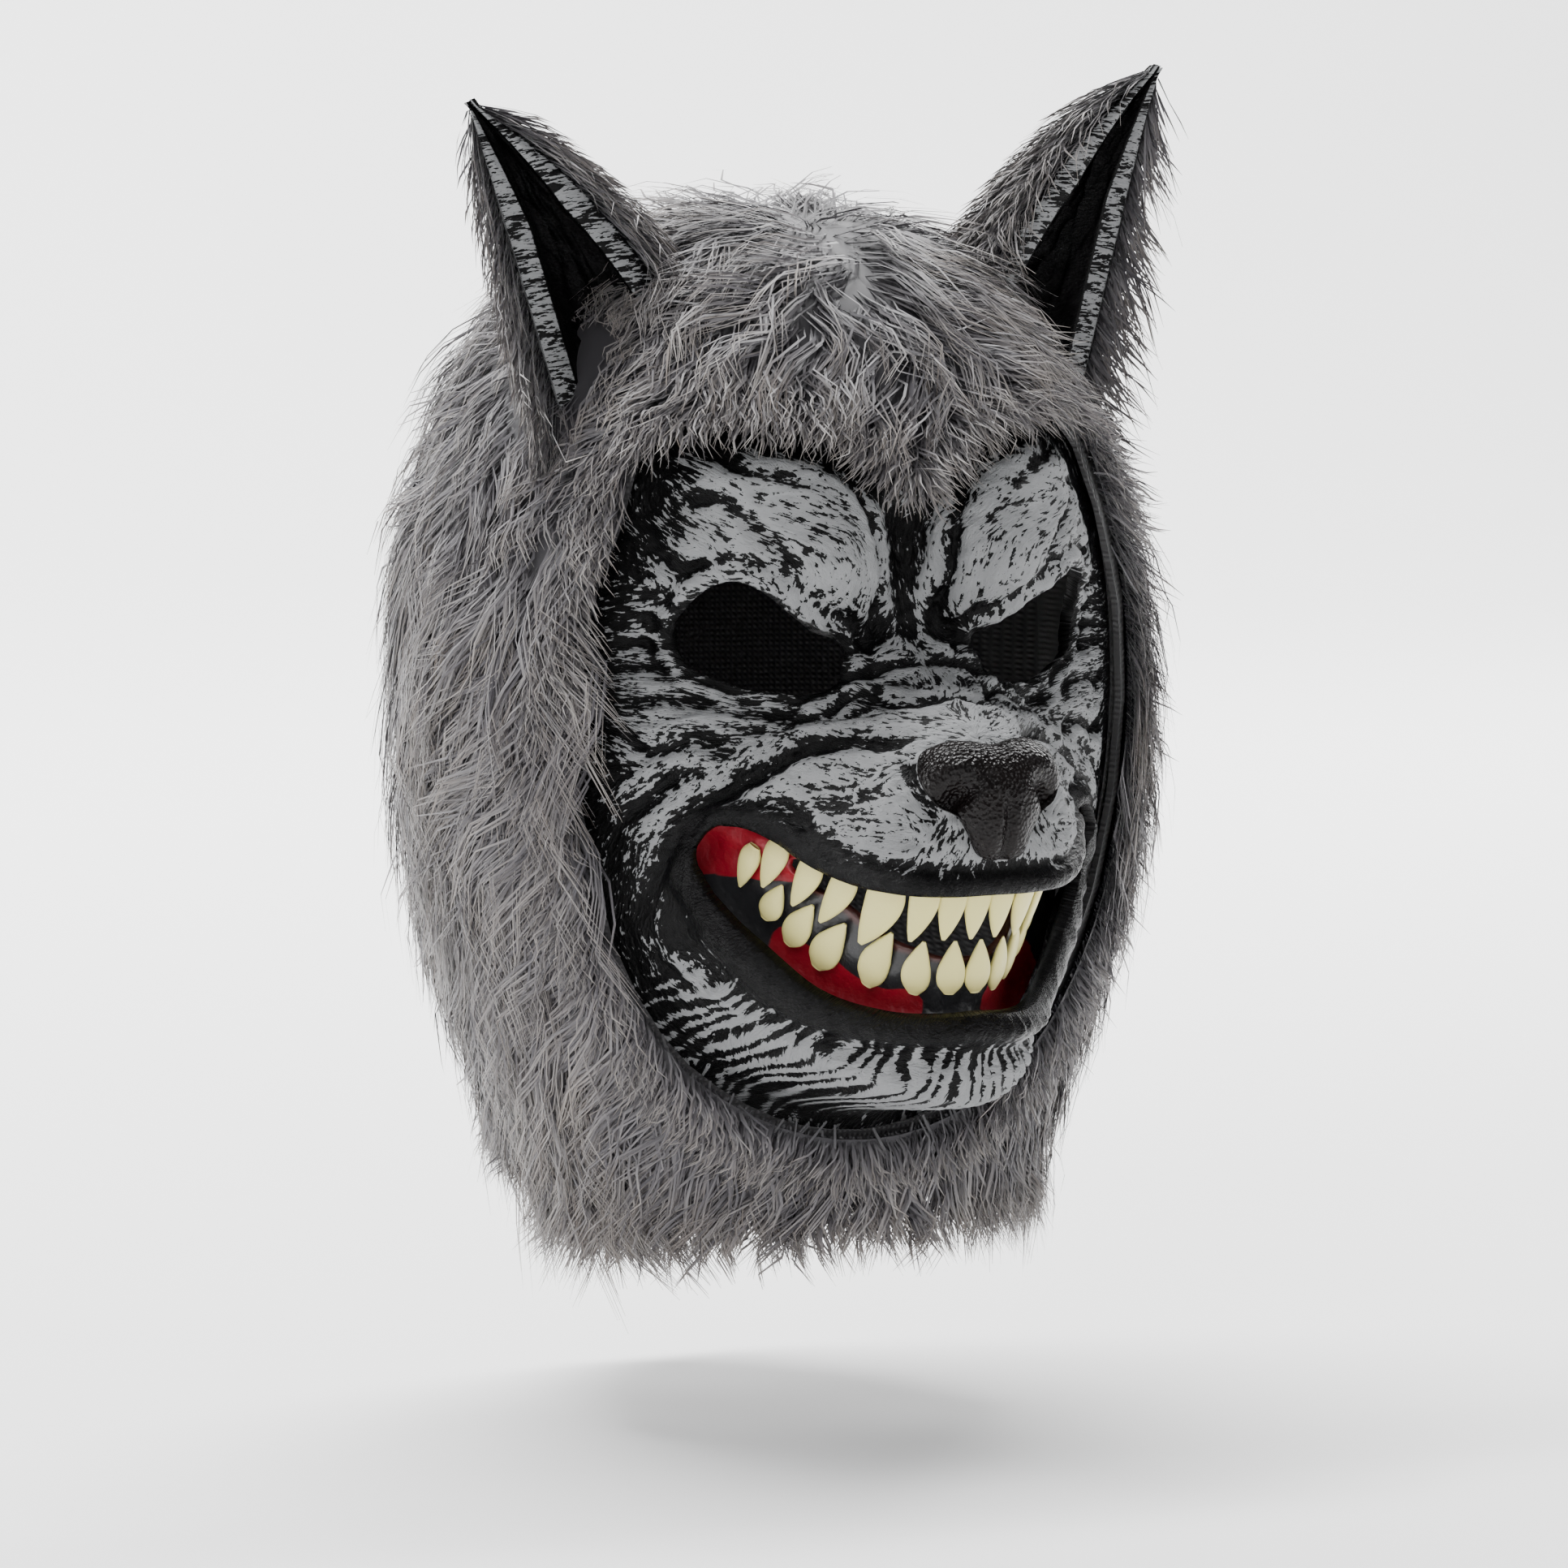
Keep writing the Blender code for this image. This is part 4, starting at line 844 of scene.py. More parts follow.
def make_face():
    """The sculpted face: folds, wrinkles, lips and chin ridges on the CAD's form, painted by relief."""
    x, z = even_grid(FACE_GRID_ROWS, FACE_GRID_COLUMNS)
    eye, mouth, in_eye, in_mouth = opening_masks(x, z)
    cells = (slice(None, -1), slice(None, -1)), (slice(1, None), slice(None, -1))
    cells += ((slice(None, -1), slice(1, None)), (slice(1, None), slice(1, None)))
    eye_mean = sum(in_eye[c] for c in cells) / 4
    mouth_mean = sum(in_mouth[c] for c in cells) / 4
    kept = (eye_mean < 0) & (mouth_mean < 0)
    for outline, mean in ((eye, eye_mean), (mouth, mouth_mean)):
        gone, stays = np.zeros(x.shape, bool), np.zeros(x.shape, bool)
        for c in cells:
            gone[c] |= mean > 0
            stays[c] |= kept
        edge = gone & stays
        if outline is eye:
            for sign in (1, -1):
                snap_to(outline * (sign, 1), x, z, edge & (np.sign(x) == sign))
        else:
            snap_to(outline, x, z, edge)
    plain = on_face(x, z)
    normal = grid_normals(box_blur(plain, 2))
    shown = sculpt_share(x, z)
    height, turned, weight = fine_folds(plain)
    _, _, in_eye, in_mouth = opening_masks(x, z)
    drop = (FACE_TOP - z) / FACE_HEIGHT
    lower = smooth((drop - 0.66) / 0.06)
    lip_width = LIP_WIDTH + (LOWER_LIP_WIDTH - LIP_WIDTH) * lower
    lip = smooth(1.3 - np.abs(in_mouth) / lip_width)
    roll = np.sin(np.clip(-in_mouth / lip_width, 0, 1) * math.pi) ** 0.8
    height += LIP_RISE * (0.45 + 0.75 * lower) * roll
    height -= 0.0012 * np.exp(-((-in_mouth - 1.25 * lip_width) / 0.0018) ** 2)
    crease = ripple(np.stack([x, z * 0.25], -1), 0.0034, 41) * lip
    height += 0.00055 * crease * roll
    lid = np.exp(-((in_eye + 0.0026) / 0.0018) ** 2)
    height += 0.0010 * lid - 0.0012 * np.exp(-((in_eye + 0.0062) / 0.0016) ** 2)
    wave, chin = chin_waves(x, z)
    height += 0.0006 * wave * chin * (1 - lip)
    height += wrinkles(plain, None, None) * (1 - lip) * (1 - 0.7 * chin)
    outer = plain + normal * (height * shown)[..., None]
    smooth_form = box_blur(outer, 9)
    large = ((outer - smooth_form) * normal).sum(-1)
    small = ((outer - box_blur(outer, 3)) * normal).sum(-1)
    relief = np.clip(large * 330.0, -0.9, 0.5) + np.clip(small * 2300.0, -1.6, 0.7) + 0.12
    relief -= 1.6 * np.exp(-((in_eye + 0.0005) / 0.0022) ** 2) + 2.0 * (1 - shown)
    corner = ((drop - 0.675) / 0.045) ** 2 + ((np.abs(x) / FACE_HALF_WIDTH - 0.73) / 0.075) ** 2
    relief -= 1.3 * np.exp(-corner)
    stripe = chin * (2.6 * wave + 0.7)
    down = np.cumsum(np.linalg.norm(np.diff(plain, axis=0), axis=-1), 0)
    rows = np.concatenate([np.zeros((1,) + plain.shape[1:]), down[..., None] * (0, 1, 0)])
    along = np.cumsum(np.linalg.norm(np.diff(plain, axis=1), axis=-1), 1)
    across = np.concatenate([np.zeros((plain.shape[0], 1)), along], 1)
    across -= across[:, across.shape[1] // 2][:, None]
    middle = np.interp(np.arange(len(plain)), np.arange(len(plain)), rows[:, plain.shape[1] // 2, 1])
    skin = np.stack([across, np.repeat(middle[:, None], plain.shape[1], 1)], -1)
    grain = stroke_weights(skin, turned, weight)
    skin = np.concatenate([skin, np.zeros(skin.shape[:-1] + (1,))], -1)
    numbers = {"relief": relief, "lip": lip, "stripe": stripe}
    vectors = {"skin": skin, "grain_a": grain[..., :3], "grain_b": grain[..., 3:]}
    return join_face(outer, normal, kept, vectors, numbers)


def join_face(outer, normal, kept, vectors, numbers):
    """One mesh of the face's front, the walls of its holes and edge, and a coarser inside."""
    count = outer.shape[0] * outer.shape[1]
    quads = grid_faces(*outer.shape[:2])
    front = quads[kept]
    edges = np.concatenate([front[:, (a, (a + 1) % 4)] for a in range(4)])
    keys = np.sort(edges, 1)
    _, first, seen = np.unique(keys, axis=0, return_index=True, return_counts=True)
    rim = edges[first[seen == 1]]
    used, where = np.unique(rim, return_inverse=True)
    where = where.reshape(rim.shape)
    walls = outer.reshape(-1, 3)[used] - normal.reshape(-1, 3)[used] * FACE_WALL
    wall_faces = np.stack([rim[:, 1], rim[:, 0], count + where[:, 0], count + where[:, 1]], 1)
    step = BACK_STEP
    inside = (outer - normal * FACE_WALL)[::step, ::step]
    open_cells = kept[: (inside.shape[0] - 1) * step, : (inside.shape[1] - 1) * step]
    open_cells = open_cells.reshape(inside.shape[0] - 1, step, inside.shape[1] - 1, step).all((1, 3))
    back = grid_faces(*inside.shape[:2])[open_cells][:, ::-1] + count + len(used)
    points = np.concatenate([outer.reshape(-1, 3), walls, inside.reshape(-1, 3)])

    def extend(values):
        flat = values.reshape(count, -1)
        more = values[::step, ::step].reshape(inside.shape[0] * inside.shape[1], -1)
        return np.concatenate([flat, flat[used], more])

    vectors = {key: extend(value) for key, value in vectors.items()}
    numbers = {key: extend(value).ravel() for key, value in numbers.items()}
    return fast_mesh("face", points, np.concatenate([front, wall_faces, back])[:, ::-1], vectors, numbers)


# Teeth, gums and nose

# Width of a tooth from its root to its tip: shares of its length, then of its width.
UPPER_LEAF = ((0.0, 0.08, 0.22, 0.40, 0.62, 0.84, 0.95, 1.0), (0.45, 0.80, 1.0, 0.98, 0.78, 0.46, 0.26, 0.06))
LOWER_LEAF = ((0.0, 0.05, 0.16, 0.32, 0.50, 0.74, 0.92, 1.0), (0.22, 0.55, 0.88, 1.0, 0.94, 0.58, 0.28, 0.06))
TOOTH_SPREAD = 1.14


def tooth_frame(node):
    """Root, tip, the way through the thickness and the width of a tooth's solid."""
    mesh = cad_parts[node].data
    points = np.empty(len(mesh.vertices) * 3, np.float32)
    mesh.vertices.foreach_get("co", points)
    points = points.reshape(-1, 3)
    gaps = np.linalg.norm(points[:, None] - points[None], axis=-1)
    a, b = np.unravel_index(gaps.argmax(), gaps.shape)
    ends = sorted((points[a], points[b]), key=lambda p: -p[2] if "upper" in node else p[2])
    start, end = ends
    axis = (end - start) / np.linalg.norm(end - start)
    flat = points - points.mean(0)
    flat = flat - np.outer(flat @ axis, axis)
    values, ways = np.linalg.eigh(flat.T @ flat)
    normal = ways[:, 1]
    normal = normal - axis * (normal @ axis)
    normal /= np.linalg.norm(normal)
    if normal[1] > 0:
        normal = -normal
    across = np.cross(axis, normal)
    width = np.ptp(flat @ across)
    thick = np.ptp(flat @ normal)
    return start, end, normal, across, width, thick


def make_tooth(node, material):
    """A flat leaf-shaped tooth with a soft ridge, where its solid is."""
    start, end, normal, across, width, thick = tooth_frame(node)
    share = np.linspace(0, 1, 22)
    wide = np.interp(share, *UPPER_LEAF) if "upper" in node else np.interp(share, *LOWER_LEAF)
    wide = TOOTH_SPREAD * np.convolve(np.pad(wide, 2, mode="edge"), (0.1, 0.2, 0.4, 0.2, 0.1), "valid")
    deep = curve_through((0, 0.15, 0.5, 0.85, 1.0), (0.45, 0.85, 1.0, 0.60, 0.15), share)
    turn = np.arange(20) * 2 * math.pi / 20
    cos, sin = np.cos(turn), np.sin(turn)
    bend = 0.03 * math.sin(7.0 * start[0] / FACE_HALF_WIDTH) * np.linalg.norm(end - start)
    middle = start + np.outer(share, end - start) + np.outer(np.sin(share * math.pi) * bend, across)
    side = np.sign(cos) * np.abs(cos) ** 0.85 * width / 2
    front = np.sign(sin) * np.abs(sin) ** 0.9 * thick / 2
    points = middle[:, None] + wide[:, None, None] * side[None, :, None] * across
    points = points + deep[:, None, None] * front[None, :, None] * normal
    faces = grid_faces(len(share), 20, wrap=True).reshape(-1, 4)
    points = points.reshape(-1, 3)
    caps = []
    for row in (0, len(share) - 1):
        ring = np.arange(20) + row * 20
        for k in range(9):
            quad = (ring[k], ring[k + 1], ring[18 - k], ring[19 - k])
            caps.append(quad if row == 0 else quad[::-1])
    root = np.repeat(np.clip(1.0 - share / 0.35, 0, 1), 20)
    tooth = fast_mesh(node + "_shape", points, np.concatenate([faces, caps]), numbers={"root": root})
    return place(tooth, "tooth", material, node)


def make_gums(material):
    """Gums and mouth lining: mounds between the teeth on the CAD's plate, dark over red."""
    count, steps = 220, 26
    mouth = face_point(closed_outline(MOUTH_OUTLINE, count))
    slot = face_point(closed_outline(SLOT_OUTLINE, count))
    tangent = np.roll(mouth, -1, 0) - np.roll(mouth, 1, 0)
    out = np.stack([-tangent[:, 1], tangent[:, 0]], 1)
    out /= np.linalg.norm(out, axis=1, keepdims=True)
    rim = mouth + out * PLATE_MARGIN * 0.9
    share = np.linspace(0, 1, steps)
    rows = np.concatenate([rim + (mouth - rim) * t for t in (0.0, 0.35, 0.7)]).reshape(3, count, 2)
    rows = np.concatenate([rows, [mouth + (slot - mouth) * t for t in share]])
    x, z = rows[..., 0], rows[..., 1]
    points = on_plate(x, z)
    normal = face_normal(x, z, 0.004)
    half, drop = np.abs(x) / FACE_HALF_WIDTH, (FACE_TOP - z) / FACE_HEIGHT
    middle = 0.690 - 0.24 * half**2
    lower = drop > middle
    depth = np.concatenate([np.zeros(3), share])[:, None] * np.ones(count)
    mounds = np.cos(2 * math.pi * half / 0.100) * 0.0007
    height = (0.0010 + mounds) * np.exp(-((depth - 0.45) / 0.32) ** 2)
    outer = points + normal * height[..., None]
    back = on_plate(x[-1], z[-1], PLATE_WALL)[None]
    outer = np.concatenate([outer, back])
    wave = 0.10 * np.sin(2 * math.pi * half / 0.19)
    red_low = (0.27 - depth + 0.7 * wave) * 4.0 * smooth((half - 0.16) / 0.12) * smooth((0.60 - half) / 0.06)
    red_corner = smooth((half - 0.50) / 0.06) * smooth((0.640 - drop) / 0.02)
    red = np.where(lower & (drop > 0.70), np.clip(red_low, 0, 1), red_corner)
    red = np.concatenate([red, red[-1:]])
    deep = np.where(lower, smooth((depth - 0.86) / 0.1), smooth((depth - 0.2) / 0.2))
    deep = np.concatenate([deep, deep[-1:]])
    faces = grid_faces(len(outer), count, wrap=True).reshape(-1, 4)
    gums = fast_mesh("gums", outer, faces, numbers={"red": red, "deep": deep})
    return place(gums, "gum", material, "gum_plate")


def make_nose(material):
    """The nose pad: a broad pebbled front, a nostril slit each side and a groove down the middle."""
    count, steps = 110, 44
    outline = closed_outline(NOSE_OUTLINE, count) * (NOSE_HALF_WIDTH, -NOSE_HEIGHT) + (0, NOSE_TOP)
    middle = outline.mean(0)
    turn = 0.9 + 0.1 * np.sin(np.linspace(0.1, 1, 10) * math.pi / 2)
    share = np.concatenate([np.linspace(0.02, 0.9, steps), turn])
    rows = middle + (outline - middle) * share[:, None, None]
    seat = on_face(rows[..., 0], rows[..., 1])
    normal = face_normal(rows[..., 0], rows[..., 1], 0.005)
    lift = SEAT_GAP + 0.0009
    rise = NOSE_RISE * np.sqrt(np.clip(1.0 - (share * NOSE_EDGE_SHARE) ** 2, 0, 1))[:, None] * np.ones(count)
    half = np.abs(rows[..., 0]) / NOSE_HALF_WIDTH
    drop = (NOSE_TOP - rows[..., 1]) / NOSE_HEIGHT
    slit = np.exp(-(((half - 0.62 - 0.22 * (drop - 0.45)) / 0.20) ** 2 + ((drop - 0.44 - 0.25 * (half - 0.6)) / 0.10) ** 2))
    groove = np.exp(-((half / 0.07) ** 2)) * smooth((drop - 0.35) / 0.25)
    rise = rise - 0.0062 * slit * (share < 0.99)[:, None] - 0.0016 * groove
    rise = rise + 0.0008 * np.exp(-(((half - 0.62) / 0.3) ** 2 + ((drop - 0.26) / 0.12) ** 2))
    front = seat + normal * (lift + np.maximum(rise, 0.0003))[..., None]
    back = (seat + normal * lift)[-1:]
    points = np.concatenate([front, back]).reshape(-1, 3)
    faces = grid_faces(len(front) + 1, count, wrap=True).reshape(-1, 4)
    caps = []
    ring = np.arange(count)
    for k in range(count // 2 - 1):
        caps.append((ring[k], ring[k + 1], ring[count - 2 - k], ring[count - 1 - k])[::-1])
    nose = fast_mesh("nose_pad", points, np.concatenate([faces, caps])[:, ::-1])
    return place(nose, "nose", material, "nose")


# Ears


def ear_shift(side, node):
    """How far the CAD moved an ear down onto the pile, read from its box."""
    plain = ear_arc(EAR_LEVELS[-1], side, 0.0, 8)
    down = ((EAR_INNER_BASE + EAR_OUTER_BASE) / 2 - EAR_TIP) * (side, 1, 1)
    moved = plain[:, 2].max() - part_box(node)[1][2]
    return down / down[2] * -moved


def make_ear(side, letter, material):
    """The moulded ear: a painted rim round a glossy, folded hollow."""
    node = f"ear_{letter}"
    shift = ear_shift(side, node)
    levels = np.linspace(-0.12, 0.995, 100)
    count = 46
    outer = np.array([ear_arc(t, side, 0.0, count) for t in levels])
    inner = np.array([ear_arc(t, side, -min(EAR_RIM, 0.6 * ear_frame(t, side)[3]), count) for t in levels])
    rim_steps = 10
    share = np.linspace(0, 1, rim_steps + 2)[1:-1]
    first = outer[:, :1] + (inner[:, :1] - outer[:, :1]) * share[None, :, None]
    last = inner[:, -1:] + (outer[:, -1:] - inner[:, -1:]) * share[None, :, None]
    frames = [ear_frame(t, side) for t in levels]
    back = np.array([f[2] for f in frames])
    crown = 0.0012 * np.sin(share * math.pi)
    first = first - back[:, None] * crown[None, :, None]
    last = last - back[:, None] * crown[None, ::-1, None]
    turn = np.linspace(0, 1, count)
    spot = np.stack(np.broadcast_arrays(levels[:, None] * 0.075, turn[None] * 0.045, 0.0), -1)
    folds = ripple(spot * (0.55, 1.6, 1), 0.014, 50 + side) + 0.6 * ripple(spot * (0.6, 1.5, 1), 0.006, 60 + side)
    middle = inner.mean(1, keepdims=True)
    inward = middle - inner
    inward /= np.maximum(np.linalg.norm(inward, axis=-1, keepdims=True), 1e-6)
    edge = np.sin(turn * math.pi) ** 0.7
    inner = inner + inward * (0.0016 * folds * edge)[..., None]
    ring = np.concatenate([outer[:, ::-1], first, inner, last], 1)
    parts = np.concatenate([np.full(count, 1), np.full(rim_steps, 0), np.full(count, 2), np.full(rim_steps, 0)])
    gloss = np.repeat((parts == 2)[None], len(levels), 0) * 1.0
    hidden = np.repeat((parts == 1)[None], len(levels), 0) * 1.0
    points = ring + shift
    count_all = ring.shape[1]
    across = np.cumsum(np.linalg.norm(np.diff(points, axis=1, prepend=points[:, :1]), axis=-1), 1)
    height = levels[:, None] * np.linalg.norm(EAR_TIP - EAR_INNER_BASE) * np.ones(count_all)
    skin = np.stack([across, height, np.zeros_like(across)], -1)
    grain = np.zeros(points.shape[:2] + (6,))
    grain[..., 1] = 0.6
    grain[..., 0] = 0.4
    relief = 0.15 + 0.5 * ripple(skin, 0.012, 71 + side)
    faces = grid_faces(len(levels), count_all, wrap=True).reshape(-1, 4)
    tip = np.arange(count_all) + (len(levels) - 1) * count_all
    caps = [(tip[k], tip[k + 1], tip[count_all - 2 - k], tip[count_all - 1 - k]) for k in range(count_all // 2 - 1)]
    numbers = {"relief": relief - hidden, "lip": gloss, "stripe": np.zeros_like(relief)}
    vectors = {"skin": skin, "grain_a": grain[..., :3], "grain_b": grain[..., 3:]}
    ear = fast_mesh(f"ear_cup_{letter}", points, np.concatenate([faces, caps]), vectors, numbers)
    return place(ear, "ear", material, node)


# Fur


def hood_map():
    """The hood's outside over a flat map: its middle is the pole, and distance runs down the form."""
    level = SECTIONS[:, 0]
    run = np.concatenate([[0], np.cumsum(np.hypot(np.diff(level), np.diff(SECTIONS[:, 1])))])
    size = 321
    reach = run[-1] + 0.03
    flat = np.linspace(-reach, reach, size)
    q = np.stack(np.meshgrid(flat, flat, indexing="ij"), -1)
    far = np.linalg.norm(q, axis=-1)
    safe = np.maximum(far, 1e-9)
    sin, cos = q[..., 0] / safe, -q[..., 1] / safe
    drop = np.interp(far, run, level) + np.maximum(far - run[-1], 0)
    depth = np.where(cos > 0, np.interp(drop, level, SECTIONS[:, 2]), np.interp(drop, level, SECTIONS[:, 3]))
    depth = box_blur(depth, 2)
    wide = np.interp(drop, level, SECTIONS[:, 1])
    z = -drop - HEM_FALL * (drop / HOOD_DROP) ** 2 * cos
    points = np.stack([wide * sin, -depth * cos, z], -1)
    normal = np.cross(np.gradient(points, axis=0), np.gradient(points, axis=1))
    normal /= np.maximum(np.linalg.norm(normal, axis=-1, keepdims=True), 1e-12)
    if normal[size // 2, size // 2, 2] < 0:
        normal = -normal
    return flat, points, normal


FLAT, HOOD_POINTS, HOOD_NORMALS = hood_map()


def read_map(grid, q):
    """A value of the flat map at places q."""
    place_at = (q - FLAT[0]) / (FLAT[1] - FLAT[0])
    place_at = np.clip(place_at, 0, len(FLAT) - 1.001)
    i = place_at.astype(int)
    t = place_at - i
    a, b = i[..., 0], i[..., 1]
    u, v = t[..., :1], t[..., 1:]
    low = grid[a, b] * (1 - v) + grid[a, b + 1] * v
    high = grid[a + 1, b] * (1 - v) + grid[a + 1, b + 1] * v
    return low * (1 - u) + high * u


def flat_step(q, way):
    """The step over the flat map that moves along a way in space."""
    e = 0.001
    across = (read_map(HOOD_POINTS, q + (e, 0)) - read_map(HOOD_POINTS, q - (e, 0))) / (2 * e)
    down = (read_map(HOOD_POINTS, q + (0, e)) - read_map(HOOD_POINTS, q - (0, e))) / (2 * e)
    aa, bb, ab = (across**2).sum(-1), (down**2).sum(-1), (across * down).sum(-1)
    pa, pb = (way * across).sum(-1), (way * down).sum(-1)
    det = np.maximum(aa * bb - ab**2, 1e-6)
    return np.stack([(pa * bb - pb * ab) / det, (pb * aa - pa * ab) / det], -1)


def comb(point, normal):
    """The way the pile is combed at points in space: down from the crown, in swirls."""
    way = np.zeros(point.shape)
    way[..., 0] = 0.10 * np.sign(point[..., 0])
    way[..., 1] = 0.22
    way[..., 2] = -1.0
    way -= normal * (way * normal).sum(-1, keepdims=True)
    way /= np.maximum(np.linalg.norm(way, axis=-1, keepdims=True), 0.15)
    swirl = 0.55 * ripple(point, 0.085, 81) + 0.25 * ripple(point, 0.035, 82)
    return way + np.cross(normal, way) * swirl[..., None]


def near_ears(point):
    """0 at an ear's base and 1 well away from it."""
    side = point * (1, 1, 1)
    side[..., 0] = np.abs(side[..., 0])
    base = (EAR_INNER_BASE + EAR_OUTER_BASE) / 2 + np.array((0.0, 0.45, 0)) * EAR_DEPTH
    return smooth((np.linalg.norm(side - base, axis=-1) - 0.013) / 0.040)


def lock_roots(random):
    """Jittered places of the locks over the hood, as places on the flat map."""
    steps = np.arange(FLAT[0], FLAT[-1], LOCK_SPACING)
    q = np.stack(np.meshgrid(steps, steps, indexing="ij"), -1).reshape(-1, 2)
    q = q + random.uniform(-0.5, 0.5, q.shape) * LOCK_SPACING
    point = read_map(HOOD_POINTS, q)
    away = np.linalg.norm(q, axis=1)
    rim = -HOOD_DROP - HEM_FALL * np.where(away > 0, -q[:, 1] / np.maximum(away, 1e-6), 0)
    inside = (point[:, 1] < 0) & (depth_inside(point[:, 0], point[:, 2], OPENING) > -0.001)
    keep = (point[:, 2] > rim + 0.001) & ~inside
    return q[keep]


def grow(q, length, height, random, swing=0.75, lean=None, steps=HAIR_SEGMENTS):
    """Paths of locks from roots q: places on the flat map and heights above the hood, step by step."""
    phase = 3.0 * ripple(read_map(HOOD_POINTS, q), 0.045, 91) + random.normal(0, 0.7, len(q))
    curl = random.uniform(0.5, 1.3, len(q)) * swing
    turn = random.normal(0, 0.20, len(q))
    path, high = [q], [np.zeros(len(q))]
    for k in range(1, steps + 1):
        point = read_map(HOOD_POINTS, q)
        normal = read_map(HOOD_NORMALS, q)
        way = comb(point, normal) if lean is None else comb(point, normal) + lean
        way -= normal * (way * normal).sum(-1, keepdims=True)
        way /= np.maximum(np.linalg.norm(way, axis=-1, keepdims=True), 0.3)
        side = np.cross(normal, way)
        sway = turn + curl * np.sin(phase + 1.9 * k)
        way = way + side * sway[:, None]
        q = q + flat_step(q, way) * (length / steps)[:, None]
        path.append(q)
        t = k / steps
        flick = np.where(np.sin(phase * 7.0) > 0.7, 0.5 * t**2, 0.0)
        high.append(height * (1.0 - (1.0 - t) ** 1.8) * (1.0 + 0.25 * np.sin(phase * 2 + 3 * t) + flick))
    return np.stack(path, 1), np.stack(high, 1)


def ribbons(name, paths, normals, width, hair, material, nodes=()):
    """One mesh of flat hairs, each a ribbon along a path that narrows to its tip."""
    count, steps = paths.shape[:2]
    along = np.gradient(paths, axis=1)
    side = np.cross(along, normals)
    side /= np.maximum(np.linalg.norm(side, axis=-1, keepdims=True), 1e-9)
    t = np.linspace(0, 1, steps)
    taper = (0.75 + 0.25 * np.sin(t * math.pi)) * (1.0 - 0.88 * t**2.2)
    offset = side * (0.5 * width[:, None] * taper[None])[..., None]
    points = np.stack([paths - offset, paths + offset], 2)
    base = (np.arange(count) * steps * 2)[:, None]
    k = (np.arange(steps - 1) * 2)[None]
    faces = np.stack([base + k, base + k + 1, base + k + 3, base + k + 2], -1).reshape(-1, 4)
    values = np.repeat(hair[:, :, None], 2, 2)
    piece = fast_mesh(name, points, faces, vectors={"hair": values})
    return place(piece, "fur", material, *nodes)


